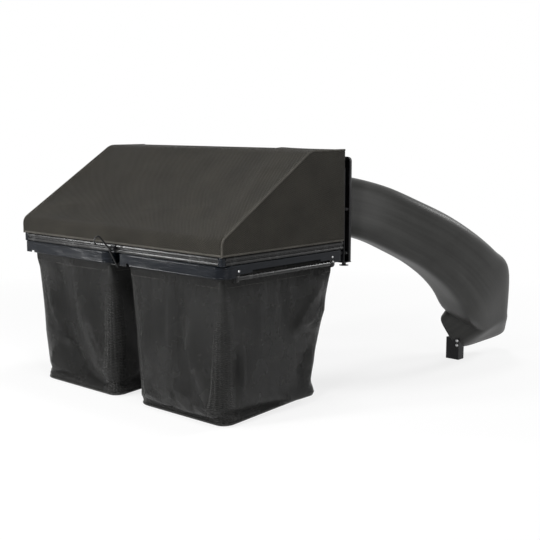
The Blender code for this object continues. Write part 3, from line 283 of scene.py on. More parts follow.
def bright_zinc():
    g = Graph("zinc_fine")
    place = g.place()
    bloom = g.noise(place, 240.0, 4.0, 0.6)
    colour = g.mix(g.ramp(bloom, 0.35, 0.7), (0.32, 0.32, 0.33), (0.52, 0.52, 0.52))
    roughness = g.ramp(bloom, 0.3, 0.7, 0.26, 0.44)
    return g.finish(colour, roughness, g.bump(bloom, 0.0001, 0.5), Metallic=0.95)


def stitch_thread():
    g = Graph("thread")
    fuzz = g.noise(g.place(), 1500.0, 2.0, 0.6)
    colour = g.mix(fuzz, (0.060, 0.057, 0.050), (0.110, 0.104, 0.092))
    return g.finish(colour, 0.75, g.bump(fuzz, 0.0002, 0.6), Sheen_Weight=0.3)


HOOD_CLOTH = mesh_cloth("hood_cloth_fine", (0.0020, 0.0019, 0.0015), (0.054, 0.0500, 0.0415),
                        0.0060, 0.50, 0.02, 0.026, 1.40)
# Trim colours set well above the hood cloth: a painted highlight along the end piping; the hem bead shares
# this colour
HOOD_TRIM = mesh_cloth("hood_trim_fine", (0.030, 0.028, 0.024), (0.105, 0.098, 0.085),
                       0.0022, 0.60, 0.04, 0.04, 0.40)
BAG_CLOTH = mesh_cloth("bag_cloth_fine", (0.0014, 0.0014, 0.0013), (0.025, 0.025, 0.0238),
                       0.0052, 0.27, 0.02, 0.14, 1.30)
BAG_TRIM = mesh_cloth("bag_trim_fine", (0.010, 0.010, 0.010), (0.050, 0.050, 0.048),
                      0.0020, 0.48, 0.06, 0.12, 0.40)
CHUTE_PLASTIC = satin_plastic()
RIM_PLASTIC = gloss_plastic()
PANEL_STEEL = painted_steel("panel_steel_fine", (0.010, 0.010, 0.011), 0.34, 0.0003)
BLACK_STEEL = painted_steel("black_steel_fine", (0.010, 0.010, 0.011), 0.30, 0.0002)
RAIL_STEEL = painted_steel("rail_steel_fine", (0.014, 0.014, 0.014), 0.20, 0.0001)
HANDLE_STEEL = painted_steel("handle_steel_fine", (0.016, 0.016, 0.016), 0.24, 0.0001)
ZINC = bright_zinc()
THREAD = stitch_thread()

FINISHES = {
    "panel_steel": PANEL_STEEL,
    "black_steel": BLACK_STEEL,
    "handle_steel": HANDLE_STEEL,
    "rail_steel": RAIL_STEEL,
    "latch_steel": RAIL_STEEL,
    "zinc": ZINC,
    "rim_plastic": RIM_PLASTIC,
    "chute_plastic": CHUTE_PLASTIC,
    "hood_cloth": HOOD_CLOTH,
    "bag_cloth": BAG_CLOTH,
}
for part in frame["record"]["subparts"]:
    node = nodes[part["node"]]
    node.data.materials.clear()
    node.data.materials.append(FINISHES[part["material_slot"]])


# Meshes

def grid_piece(name, rows, uvs, material, around=False, thickness=0.0, smooth=True):
    """A sheet from rows of points, with its UV in metres."""
    bm = bmesh.new()
    layer = bm.loops.layers.uv.new("cloth")
    verts = [[bm.verts.new(point) for point in row] for row in rows]
    count = len(rows[0])
    for i in range(len(rows) - 1):
        for j in range(count if around else count - 1):
            k = (j + 1) % count
            corners = ((i, j, j), (i, k, j + 1), (i + 1, k, j + 1), (i + 1, j, j))
            face = bm.faces.new([verts[r][c] for r, c, u in corners])
            face.smooth = smooth
            for loop, (r, c, u) in zip(face.loops, corners):
                loop[layer].uv = uvs[r][u]
    mesh = bpy.data.meshes.new(name)
    bm.to_mesh(mesh)
    bm.free()
    mesh.materials.append(material)
    made = bpy.data.objects.new(name, mesh)
    scene.collection.objects.link(made)
    if thickness:
        shell = made.modifiers.new("thickness", "SOLIDIFY")
        shell.thickness = thickness
        shell.offset = -1
    return made


def bead(name, path, radius, material, closed=False, sides=3):
    """A thin round cord along a path."""
    curve = bpy.data.curves.new(name, "CURVE")
    curve.dimensions = "3D"
    curve.bevel_depth = radius
    curve.bevel_resolution = sides
    curve.use_fill_caps = True
    spline = curve.splines.new("POLY")
    spline.points.add(len(path) - 1)
    for point, at in zip(spline.points, path):
        point.co = (*at, 1.0)
    spline.use_cyclic_u = closed
    made = bpy.data.objects.new(name, curve)
    scene.collection.objects.link(made)
    bpy.context.view_layer.update()
    graph = bpy.context.evaluated_depsgraph_get()
    mesh = bpy.data.meshes.new_from_object(made.evaluated_get(graph))
    bpy.data.objects.remove(made)
    for polygon in mesh.polygons:
        polygon.use_smooth = True
    layer = mesh.uv_layers.new(name="cloth")
    for loop in mesh.loops:
        at = mesh.vertices[loop.vertex_index].co
        layer.data[loop.index].uv = (at.x + at.y, at.z)
    mesh.materials.clear()
    mesh.materials.append(material)
    solid = bpy.data.objects.new(name, mesh)
    scene.collection.objects.link(solid)
    return solid


def smoothstep(low, high, value):
    t = min(max((value - low) / (high - low), 0.0), 1.0)
    return t * t * (3 - 2 * t)


def wrinkle(x, y, z, scale, seed):
    return noise.noise(Vector((x * scale + seed, y * scale, z * scale)))


def fold(point, line, left_width, right_width, height):
    """A fold's height at a point: each side of its line falls off by its own width."""
    best = 1e9
    across = 1.0
    along = 0.0
    for index, ((ax, ay), (bx, by)) in enumerate(zip(line, line[1:])):
        dx, dy = bx - ax, by - ay
        px, py = point[0] - ax, point[1] - ay
        t = min(max((px * dx + py * dy) / (dx * dx + dy * dy), 0.0), 1.0)
        distance = math.hypot(px - dx * t, py - dy * t)
        if distance < best:
            best = distance
            across = dx * py - dy * px
            along = (index + t) / (len(line) - 1)
    width = left_width if across > 0 else right_width
    fade = math.sin(math.pi * (0.10 + 0.82 * along)) ** 0.7
    crest = math.exp(-((best / width) ** 1.25))
    return height * fade * crest


# Hood

def hood_line(steps=72):
    """The cloth's side view: rear edge, heel, slope, knee, front edge."""
    corners = [
        Vector((HOOD_REAR_Y, RAIL_TOP + SEAT)),
        Vector((HOOD_REAR_Y, HOOD_HEEL)),
        Vector((HOOD_KNEE_Y, HOOD_TOP)),
        Vector((HOOD_FRONT_Y, HOOD_TOP)),
    ]
    path = [corners[0]]
    for before, corner, after, radius in zip(corners, corners[1:], corners[2:],
                                            (HOOD_HEEL_RADIUS, HOOD_KNEE_RADIUS)):
        back = (before - corner).normalized()
        ahead = (after - corner).normalized()
        half = back.angle(ahead) / 2
        reach = radius / math.tan(half)
        start = corner + back * reach
        end = corner + ahead * reach
        for i in range(9):
            t = i / 8
            path.append(start * (1 - t) ** 2 + corner * 2 * t * (1 - t) + end * t * t)
    path.append(corners[-1])
    lengths = [0.0]
    for a, b in zip(path, path[1:]):
        lengths.append(lengths[-1] + (b - a).length)
    line = []
    for i in range(steps + 1):
        target = lengths[-1] * i / steps
        for a, b, low, high in zip(path, path[1:], lengths, lengths[1:]):
            if target <= high + 1e-9:
                t = (target - low) / (high - low) if high > low else 0.0
                line.append((a.lerp(b, t), target))
                break
    return line, lengths[-1]


HOOD_LINE, HOOD_LENGTH = hood_line()


# Tension folds: line of (across, along) shares, widths on its left and right, height
HOOD_FOLDS = (
    (((-0.98, 0.16), (-0.62, 0.24), (-0.24, 0.22)), 0.10, 0.05, 0.010),
    (((0.96, 0.20), (0.62, 0.30), (0.20, 0.26)), 0.05, 0.14, 0.011),
    (((-0.86, 0.72), (-0.50, 0.58), (-0.10, 0.56)), 0.12, 0.06, 0.009),
    (((0.94, 0.62), (0.60, 0.60), (0.22, 0.68)), 0.06, 0.12, 0.010),
    (((0.55, 0.94), (0.72, 0.74), (0.78, 0.46), (0.90, 0.22)), 0.10, 0.07, 0.008),
)


def hood_sag(x, s):
    """How far the cloth hangs inwards between the hoops and cross tubes."""
    across = 1 - (abs(x) / HOOD_X) ** 2.6
    slope = 0.0
    if SLOPE_START < s < SLOPE_END:
        t = (s - SLOPE_START) / (SLOPE_END - SLOPE_START)
        slope = math.sin(math.pi * t) ** 0.9
    top = 0.0
    if s > SLOPE_END:
        t = (s - SLOPE_END) / (HOOD_LENGTH - SLOPE_END)
        top = math.sin(math.pi * min(t, 1.0))
    ripple = wrinkle(x, s, 0.0, 2.6, 4.0) * 0.0150 + wrinkle(x, s, 0.0, 8.5, 9.0) * 0.0040
    pull = sum(fold((x / HOOD_X, s / HOOD_LENGTH), *crease) for crease in HOOD_FOLDS)
    sag = SLOPE_SAG * slope + TOP_SAG * top
    return across * sag + (ripple * across - pull * min(1.0, 2.5 * across)) * min(1.0, slope + top)


def hood_inward(index):
    """The direction into the hood at a point of its side view."""
    before = HOOD_LINE[max(index - 1, 0)][0]
    after = HOOD_LINE[min(index + 1, len(HOOD_LINE) - 1)][0]
    tangent = (after - before).normalized()
    return Vector((tangent.y, -tangent.x))


def hood_skin():
    """The cloth from the rear edge over the knee to the front, with its sag."""
    columns = 96
    rows = []
    uvs = []
    for index, (point, s) in enumerate(HOOD_LINE):
        inward = hood_inward(index)
        row = []
        uv = []
        for j in range(columns + 1):
            share = 2 * j / columns - 1
            x = HOOD_X * math.copysign(1 - (1 - abs(share)) ** 1.15, share)
            sag = hood_sag(x, s)
            edge = HOOD_CREASE_DROP * (1 - smoothstep(0.0, 0.006, HOOD_X - abs(x)))
            place = point + inward * (sag + edge)
            row.append((x, place.x, place.y))
            uv.append((x, s))
        rows.append(row)
        uvs.append(uv)
    return grid_piece("hood_skin", rows, uvs, HOOD_CLOTH, thickness=HOOD_CLOTH_THICK)


def hood_side(name, side):
    """The flat end panel, from the crease down to the rail."""
    bottom = RAIL_TOP + SEAT
    columns = 60
    levels = 26
    crease = [point for point, s in HOOD_LINE]
    rows = []
    uvs = []
    for j in range(columns + 1):
        t = j / columns
        y = HOOD_REAR_Y + (HOOD_FRONT_Y - HOOD_REAR_Y) * t
        if j == 0:
            top = HOOD_HEEL - 0.012
        else:
            top = next((a.y + (b.y - a.y) * (y - a.x) / (b.x - a.x)
                        for a, b in zip(crease, crease[1:])
                        if a.x <= y <= b.x and b.x > a.x + 1e-7), HOOD_TOP)
        row = []
        uv = []
        for i in range(levels + 1):
            h = i / levels
            z = bottom + (top - bottom) * h
            bow = math.sin(math.pi * h) * math.sin(math.pi * min(t * 1.05, 1.0))
            x = HOOD_X - 0.0005 - 0.0055 * bow * (0.75 + 0.5 * wrinkle(y, z, side, 6.0, 2.0))
            row.append((side * x, y, z))
            uv.append((y, z))
        rows.append(row if side > 0 else row[::-1])
        uvs.append(uv if side > 0 else uv[::-1])
    return grid_piece(name, rows, uvs, HOOD_CLOTH, thickness=HOOD_CLOTH_THICK)


def crease_path(side, out, lift):
    """A path along one end's upper edge, for its piping and its stitches."""
    path = []
    for index, (point, s) in enumerate(HOOD_LINE):
        place = point + hood_inward(index) * (0.0045 - lift)
        path.append((side * (HOOD_X - 0.002 + out), place.x, place.y))
    return path


def stitches(name, path, length, gap, radius):
    """A row of separate stitches along a path, as one mesh."""
    template = [(0.0, 0.0, -length / 2)]
    for share, fat in ((-0.32, 0.85), (0.32, 0.85)):
        for k in range(6):
            angle = math.radians(60 * k)
            template.append((radius * fat * math.cos(angle), radius * fat * math.sin(angle), length * share))
    template.append((0.0, 0.0, length / 2))
    sides = [(0, 1 + (k + 1) % 6, 1 + k) for k in range(6)]
    sides += [(1 + k, 1 + (k + 1) % 6, 7 + (k + 1) % 6, 7 + k) for k in range(6)]
    sides += [(7 + k, 7 + (k + 1) % 6, 13) for k in range(6)]
    points = [Vector(p) for p in path]
    verts = []
    faces = []
    walked = 0.0
    place = 0.0
    for a, b in zip(points, points[1:]):
        run = (b - a).length
        turn = Vector((0, 0, 1)).rotation_difference(b - a)
        while place < walked + run:
            middle = a.lerp(b, (place - walked) / run)
            first = len(verts)
            verts += [middle + turn @ Vector(v) for v in template]
            faces += [tuple(first + i for i in face) for face in sides]
            place += length + gap
        walked += run
    mesh = bpy.data.meshes.new(name)
    mesh.from_pydata(verts, [], faces)
    mesh.shade_smooth()
    mesh.materials.append(THREAD)
    made = bpy.data.objects.new(name, mesh)
    scene.collection.objects.link(made)
    return made


hood = hood_skin()
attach(hood, "hood")
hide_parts("hood_cover")
for label, side in (("left", -1), ("right", 1)):
    panel = hood_side(f"{label}_hood_end", side)
    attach(panel, "hood")
    piping = bead(f"{label}_hood_piping", crease_path(side, 0.0010, 0.0032), 0.0032, HOOD_TRIM)
    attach(piping, "hood")
    seam = stitches(f"{label}_hood_seam", crease_path(side, -0.0075, 0.0040),
                    0.0040, STITCH_GAP, STITCH_RADIUS)
    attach(seam, "hood")


def hem_path(z):
    """A path round the hood's lower edge, open at the front."""
    x = HOOD_X - 0.0015
    path = [(-x, HOOD_FRONT_Y - 0.002, z)]
    for turn_x, turn_y, first in ((-1, 0, 180), (1, 0, 270)):
        for i in range(7):
            angle = math.radians(first + 90 * i / 6)
            path.append((turn_x * (x - 0.006) + 0.006 * math.cos(angle),
                         HOOD_REAR_Y + 0.0075 + 0.006 * math.sin(angle), z))
    path.append((x, HOOD_FRONT_Y - 0.002, z))
    return path


hem = bead("hood_hem", hem_path(RAIL_TOP + 0.0042), 0.0036, HOOD_TRIM)
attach(hem, "hood")


# Latch wire

def latch_path():
    """The crook, the shank down to the pin, one turn round it, and the leg."""
    coil = LATCH_PIN + TURN + LATCH_WIRE
    shank = Vector((math.cos(math.radians(133)), math.sin(math.radians(133))))
    left = Vector((-shank.y, shank.x))
    start = Vector((math.cos(math.radians(223)), math.sin(math.radians(223)))) * coil
    top = start + shank * LATCH_SHANK
    centre = top + left * LATCH_CROOK
    pitch = LATCH_WIRE * 2.3
    path = []
    for i in range(25):
        turn = math.radians(205 * (1 - i / 24))
        open_out = 1 + 0.30 * (1 - i / 24) ** 3
        at = centre + (-left * math.cos(turn) + shank * math.sin(turn)) * LATCH_CROOK * open_out
        path.append((pitch / 2, at.x, at.y))
    for i in range(1, 16):
        at = top.lerp(start, i / 16)
        path.append((pitch / 2, at.x, at.y))
    for i in range(41):
        share = i / 40
        angle = math.radians(223 + 346.5 * share)
        path.append((pitch * (0.5 - share), math.cos(angle) * coil, math.sin(angle) * coil))
    leg = Vector((math.cos(math.radians(-60.5)), math.sin(math.radians(-60.5))))
    last = Vector(path[-1][1:])
    for i in range(1, 17):
        at = last + leg * LATCH_LEG * i / 16
        path.append((-pitch / 2, at.x, at.y))
    return [(x, LATCH_AT[0] + y, LATCH_AT[1] + z) for x, y, z in path]


latch = bead("latch_crook", latch_path(), LATCH_WIRE, RAIL_STEEL, sides=4)
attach(latch, "latch")
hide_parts("latch_wire")


# Bags

def level_at(z):
    """Side, rear and front inset and corner radius of a bag at a height."""
    height = CLOTH_TOP - BAG_FLOOR - BAG_SIDE_TOP
    down = min(max((CLOTH_TOP - z) / height, 0.0), 1.0)
    share = 1 - (1 - down) ** BAG_TAPER
    turn = 1 - (1 - down) ** BAG_CORNER_TAPER
    below_collar = smoothstep(0.05, 0.16, down)
    insets = [CLOTH_INSET + (foot - CLOTH_INSET) * share * below_collar
              for foot in (BAG_FLANK_INSET, BAG_REAR_INSET, BAG_FRONT_INSET)]
    return (*insets, CLOTH_CORNER + (BAG_CORNER - CLOTH_CORNER) * turn * below_collar)


def bag_ring(side, flank, rear, front, corner, per_side=30, per_corner=8):
    """Points and outward directions round a bag, from the rear face's left end."""
    low_x = RIM_GAP / 2 if side > 0 else -RIM_GAP / 2 - RIM_WIDTH
    high_x = low_x + RIM_WIDTH
    x0, x1 = low_x + flank, high_x - flank
    y0, y1 = REAR_Y + rear, RIM_FRONT_Y - front
    ring = []
    sides = (
        ((x0 + corner, y0), (x1 - corner, y0), (0, -1), "rear", (x1 - corner, y0 + corner), -90),
        ((x1, y0 + corner), (x1, y1 - corner), (1, 0), "right", (x1 - corner, y1 - corner), 0),
        ((x1 - corner, y1), (x0 + corner, y1), (0, 1), "front", (x0 + corner, y1 - corner), 90),
        ((x0, y1 - corner), (x0, y0 + corner), (-1, 0), "left", (x0 + corner, y0 + corner), 180),
    )
    for start, end, out, face, centre, first in sides:
        for i in range(per_side):
            t = i / per_side
            at = (start[0] + (end[0] - start[0]) * t, start[1] + (end[1] - start[1]) * t)
            ring.append((at, out, face, t))
        for i in range(per_corner):
            t = i / per_corner
            angle = math.radians(first + 90 * t)
            out_c = (math.cos(angle), math.sin(angle))
            at = (centre[0] + corner * out_c[0], centre[1] + corner * out_c[1])
            ring.append((at, out_c, face + "_corner", t))
    return ring


def base_z(y):
    """The height of a bag's base, which rises towards the front."""
    first = REAR_Y + BAG_REAR_INSET + BAG_EDGE
    last = RIM_FRONT_Y - BAG_FRONT_INSET - BAG_EDGE
    return BAG_FLOOR + BAG_BASE_RISE * (y - first) / (last - first)


# Folds on each face: line of (across, up) shares, widths on its left and right, height
FOLDS = {
    (-1, "rear"): [
        (((-0.02, 0.02), (0.10, 0.20), (0.19, 0.38)), 0.10, 0.05, 0.012),
        (((0.12, 0.40), (0.38, 0.30), (0.68, 0.20), (1.05, 0.06)), 0.10, 0.20, -0.020),
        (((0.52, 0.88), (0.62, 0.68), (0.80, 0.46), (0.98, 0.24), (1.05, 0.05)), 0.08, 0.16, 0.018),
        (((0.24, 0.92), (0.30, 0.70), (0.34, 0.52)), 0.12, 0.10, -0.008),
        (((0.04, 0.70), (0.12, 0.56), (0.13, 0.44)), 0.08, 0.08, 0.008),
    ],
    (1, "rear"): [
        (((-0.04, 0.06), (0.22, 0.16), (0.52, 0.20), (0.78, 0.15), (1.05, 0.03)), 0.30, 0.060, 0.019),
        (((0.62, 0.66), (0.76, 0.44), (0.90, 0.24), (1.06, 0.06)), 0.14, 0.045, 0.012),
        (((0.08, 0.90), (0.12, 0.60), (0.05, 0.34)), 0.12, 0.16, 0.007),
        (((0.50, 0.92), (0.56, 0.66), (0.50, 0.42)), 0.16, 0.12, -0.009),
        (((0.80, 0.10), (0.92, 0.14), (1.04, 0.10)), 0.035, 0.030, 0.009),
    ],
    (1, "right"): [
        (((1.02, 0.97), (0.90, 0.78), (0.74, 0.58)), 0.08, 0.05, 0.012),
        (((1.04, 0.66), (0.90, 0.58), (0.72, 0.56)), 0.05, 0.08, 0.009),
        (((-0.02, 0.14), (0.06, 0.30), (0.10, 0.52)), 0.07, 0.09, 0.008),
        (((0.36, 0.92), (0.34, 0.60), (0.28, 0.28)), 0.14, 0.14, 0.005),
        (((0.98, 0.40), (0.90, 0.24), (0.96, 0.06)), 0.10, 0.10, -0.010),
    ],
    (-1, "right"): [
        (((0.10, 0.86), (0.20, 0.56), (0.12, 0.20)), 0.09, 0.12, 0.009),
        (((0.50, 0.90), (0.46, 0.50), (0.60, 0.14)), 0.12, 0.12, -0.007),
        (((0.02, 0.10), (0.30, 0.20), (0.70, 0.08)), 0.16, 0.06, 0.012),
    ],
    (-1, "left"): [
        (((0.96, 0.34), (0.74, 0.22), (0.40, 0.10)), 0.10, 0.16, 0.012),
        (((0.30, 0.92), (0.38, 0.56), (0.26, 0.18)), 0.12, 0.10, 0.007),
        (((0.72, 0.86), (0.66, 0.56), (0.78, 0.32)), 0.10, 0.12, -0.007),
    ],
    (1, "left"): [
        (((0.90, 0.88), (0.84, 0.50), (0.94, 0.14)), 0.10, 0.10, 0.008),
        (((0.20, 0.16), (0.50, 0.24), (0.86, 0.12)), 0.16, 0.06, 0.010),
    ],
    (1, "front"): [
        (((0.10, 0.12), (0.44, 0.24), (0.92, 0.10)), 0.16, 0.07, 0.012),
        (((0.32, 0.90), (0.40, 0.60), (0.30, 0.34)), 0.12, 0.10, 0.007),
    ],
    (-1, "front"): [
        (((0.06, 0.22), (0.50, 0.14), (0.94, 0.26)), 0.16, 0.07, 0.011),
        (((0.70, 0.88), (0.62, 0.62), (0.72, 0.30)), 0.10, 0.12, -0.008),
    ],
}


def bag_push(side, face, t, up, x, y, z):
    """Outward push of the cloth at a point of a wall."""
    free = smoothstep(1.0, 0.84, up) * smoothstep(0.0, 0.07, up)
    push = 0.004 * math.sin(math.pi * min(max(up, 0.0), 1.0)) * math.sin(math.pi * t)
    if "corner" in face:
        face = face.removesuffix("_corner")
        edge = 1 - t
        t = 1.0
    else:
        edge = smoothstep(-0.02, 0.10, t)
    for line, left_width, right_width, height in FOLDS.get((side, face), ()):
        push += FOLD_DEPTH * free * edge * fold((t, up), line, left_width, right_width, height)
    push += free * 0.0050 * wrinkle(x, y, z * 0.55, 6.0, 3.0 + side * 5)
    push += free * 0.0022 * wrinkle(x, y, z * 0.45, 15.0, 8.0 + side * 5)
    return push


def bag_skin(name, side):
    """A bag's walls, its rounded lower edge and its base, as one sheet."""
    rows = []
    uvs = []
    top = CLOTH_TOP
    foot = BAG_FLOOR + BAG_EDGE
    levels = 74
    around = []
    for i in range(levels + 1):
        share = i / levels
        row = []
        level = top + (foot - top) * share
        ring = bag_ring(side, *level_at(level))
        if not around:
            length = 0.0
            around = [0.0]
            for a, b in zip(ring, ring[1:] + ring[:1]):
                length += math.hypot(a[0][0] - b[0][0], a[0][1] - b[0][1])
                around.append(length)
        for (x, y), out, face, t in ring:
            lift = (base_z(y) - BAG_FLOOR) * smoothstep(0.25, 1.0, share)
            z = level + lift
            up = 1 - share
            push = bag_push(side, face, t, up, x, y, z)
            row.append((x + out[0] * push, y + out[1] * push, z))
        rows.append(row)
        uvs.append([(a, top - level) for a in around])
    for angle in (18, 36, 54, 72, 90):
        tuck = BAG_EDGE * (1 - math.cos(math.radians(angle)))
        lift = BAG_EDGE * (1 - math.sin(math.radians(angle)))
        flank, rear, front, corner = level_at(BAG_FLOOR)
        ring = bag_ring(side, flank + tuck, rear + tuck, front + tuck, corner - tuck)
        rows.append([(x, y, base_z(y) + lift) for (x, y), out, face, t in ring])
        uvs.append([(a, top - foot + tuck) for a in around])
    base = rows[-1]
    centre = (sum(p[0] for p in base) / len(base), sum(p[1] for p in base) / len(base))
    for share in (0.8, 0.55, 0.3, 0.1, 0.004):
        row = []
        for x, y, z in base:
            px = centre[0] + (x - centre[0]) * share
            py = centre[1] + (y - centre[1]) * share
            row.append((px, py, base_z(py) + 0.0030 * (1 - share)))
        rows.append(row)
        uvs.append([(a * share, top - foot + BAG_EDGE + 0.2 * (1 - share)) for a in around])
    return grid_piece(name, rows, uvs, BAG_CLOTH, around=True)


def bag_trim(label, side):
    """The piping round a bag's base and the stitches below its rim."""
    flank, rear, front, corner = level_at(BAG_FLOOR)
    tuck = BAG_EDGE * 0.30
    ring = bag_ring(side, flank + tuck * 0.2, rear + tuck * 0.2, front + tuck * 0.2, corner)
    path = [(x + out[0] * 0.0010, y + out[1] * 0.0010, base_z(y) + BAG_EDGE * 0.62)
            for (x, y), out, face, t in ring]
    piping = bead(f"{label}_bag_piping", path, 0.0026, BAG_TRIM, closed=True)
    z = CLOTH_TOP - 0.040
    ring = bag_ring(side, *level_at(z))
    path = []
    for (x, y), out, face, t in ring:
        up = 1 - (CLOTH_TOP - z) / (CLOTH_TOP - BAG_FLOOR - BAG_EDGE)
        push = bag_push(side, face, t, up, x, y, z) + 0.0004
        path.append((x + out[0] * push, y + out[1] * push, z))
    seam = stitches(f"{label}_bag_seam", path + path[:1], 0.0036, STITCH_GAP, STITCH_RADIUS)
    return [piping, seam]


def crumple(obj, growth, steps):
    """Let a bag's cloth grow between its held rim and base, so that it buckles by itself."""
    mesh = obj.data
    held = obj.vertex_groups.new(name="held")
    start = [vertex.co.copy() for vertex in mesh.vertices]
    for vertex in mesh.vertices:
        z = vertex.co.z
        grip = max(smoothstep(-0.085, -0.060, z),
                   1 - smoothstep(BAG_FLOOR + 0.014, BAG_FLOOR + 0.034, z))
        if grip > 0:
            held.add([vertex.index], grip, "REPLACE")
    cloth = obj.modifiers.new("cloth", "CLOTH")
    settings = cloth.settings
    settings.quality = 6
    settings.mass = 0.25
    settings.tension_stiffness = 12
    settings.compression_stiffness = 12
    settings.shear_stiffness = 4
    settings.bending_stiffness = 3
    settings.air_damping = 3
    settings.vertex_group_mass = "held"
    settings.shrink_min = -growth
    settings.effector_weights.gravity = 0.4
    cloth.collision_settings.use_collision = False
    cloth.point_cache.frame_start = 1
    cloth.point_cache.frame_end = steps
    for step in range(1, steps + 1):
        scene.frame_set(step)
    graph = bpy.context.evaluated_depsgraph_get()
    moved = [vertex.co.copy() for vertex in obj.evaluated_get(graph).data.vertices]
    obj.modifiers.remove(cloth)
    scene.frame_set(1)
    for vertex, before, after in zip(mesh.vertices, start, moved):
        shift = after - before
        if shift.length > MOST_SHIFT:
            shift *= MOST_SHIFT / shift.length
        vertex.co = before + shift
    mesh.update()


for label, side in (("left", -1), ("right", 1)):
    bag = bag_skin(f"{label}_bag_skin", side)
    crumple(bag, CLOTH_GROWTH, CLOTH_FRAMES)
    shell = bag.modifiers.new("thickness", "SOLIDIFY")
    shell.thickness = BAG_CLOTH_THICK
    shell.offset = 1
    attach(bag, "frame")
    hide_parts(f"{label}_bag_cloth")
    trims = bag_trim(label, side)
    for piece in trims:
        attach(piece, "frame")


# Rim lips

def rim_lip(name, side, z):
    """The rounded lip along a rim's rear face and its rear right corner."""
    low_x = RIM_GAP / 2 if side > 0 else -RIM_GAP / 2 - RIM_WIDTH
    high_x = low_x + RIM_WIDTH
    first = low_x + 0.055
    path = [(first + (high_x - RIM_ROUND - low_x - 0.055) * i / 12, REAR_Y, z) for i in range(12)]
    for i in range(13):
        angle = math.radians(-90 + 90 * i / 12)
        path.append((high_x - RIM_ROUND + RIM_ROUND * math.cos(angle),
                     REAR_Y + RIM_ROUND + RIM_ROUND * math.sin(angle), z))
    return bead(name, path, LIP_RADIUS, RIM_PLASTIC)


for label, side in (("left", -1), ("right", 1)):
    for level, z in (("upper", RIM_TOP - 0.0040), ("lower", RIM_TOP - RIM_BAND + 0.0026)):
        lip = rim_lip(f"{label}_rim_{level}_lip", side, z)
        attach(lip, "frame")


# Chute

# Stations as (out, ahead, up, width, height), in shares of the reach and of the half size
CHUTE_ROUTE = (
    (0.000, 0.000, 0.000, 1.00, 1.00),
    (0.009, 0.056, 0.000, 1.00, 0.99),
    (0.056, 0.122, -0.009, 0.99, 0.98),
    (0.122, 0.198, -0.037, 0.98, 0.98),
    (0.176, 0.294, -0.086, 0.98, 1.00),
    (0.214, 0.404, -0.141, 0.98, 1.04),
    (0.241, 0.518, -0.210, 0.98, 1.10),
    (0.250, 0.624, -0.283, 0.98, 1.19),
    (0.240, 0.722, -0.358, 0.97, 1.29),
)
BOOT_CREASE = (
    (0.128, 0.669, -0.463),
    (0.278, 0.741, -0.550),
    (0.306, 0.911, -0.494),
    (0.144, 0.956, -0.347),
)
BOOT_MOUTH = (
    (0.100, 0.680, -0.491),
    (0.161, 0.736, -0.630),
    (0.239, 1.008, -0.586),
    (0.144, 0.974, -0.436),
)
CHUTE_LENGTHS = [name for name in nodes if name.startswith("chute_") and "screw" not in name]


def chute_place(out, ahead, up):
    """A point of the chute, from its shares of the reach."""
    inlet = Vector((CHUTE_X, PANEL_Y + SEAT + CHUTE_WALL, CHUTE_Z))
    return inlet + Vector((out, ahead, up)) * CHUTE_REACH


def square_ring(count, corner):
    """Points round a square with round corners, of half size 1."""
    points = []
    quarter = count // 4
    for number in range(4):
        for i in range(quarter):
            angle = math.radians(-45 + 90 * (number + i / quarter))
            power = 2 / corner
            size = (abs(math.cos(angle)) ** power + abs(math.sin(angle)) ** power) ** (-1 / power)
            points.append((math.cos(angle) * size, math.sin(angle) * size))
    return points


def chute_stations():
    """Each station as its middle, its half width, its half height and its skew."""
    centres = [chute_place(*station[:3]) for station in CHUTE_ROUTE]
    stations = []
    side = Vector((1, 0, 0))
    for number, (width, height) in enumerate(station[3:] for station in CHUTE_ROUTE):
        if number == 0:
            ahead = Vector((0, 1, 0))
        elif number == len(centres) - 1:
            ahead = (centres[number] - centres[number - 1]).normalized()
        else:
            ahead = (centres[number + 1] - centres[number - 1]).normalized()
        side = (side - ahead * side.dot(ahead)).normalized()
        up = side.cross(ahead)
        stations.append([centres[number], side * width * CHUTE_HALF,
                         up * height * CHUTE_HALF, Vector((0, 0, 0))])
    for corners in (BOOT_CREASE, BOOT_MOUTH):
        inner_low, outer_low, outer_high, inner_high = [chute_place(*corner) for corner in corners]
        stations.append([
            (inner_low + outer_low + outer_high + inner_high) / 4,
            (outer_low + outer_high - inner_low - inner_high) / 4,
            (outer_high + inner_high - outer_low - inner_low) / 4,
            (inner_low + outer_high - outer_low - inner_high) / 4,
        ])
    return stations


def blend_stations(stations, steps):
    """A smooth run through all stations, with steps between each two."""
    smooth = []
    last = len(stations) - 1
    for i in range(last):
        p = [stations[max(i - 1, 0)], stations[i], stations[i + 1], stations[min(i + 2, last)]]
        for step in range(steps):
            t = step / steps
            weights = (
                -0.5 * t + t * t - 0.5 * t ** 3,
                1 - 2.5 * t * t + 1.5 * t ** 3,
                0.5 * t + 2 * t * t - 1.5 * t ** 3,
                -0.5 * t * t + 0.5 * t ** 3,
            )
            mixed = []
            for part in range(4):
                total = Vector((0, 0, 0))
                for weight, station in zip(weights, p):
                    total += station[part] * weight
                mixed.append(total)
            smooth.append(mixed)
    smooth.append(stations[-1])
    return smooth


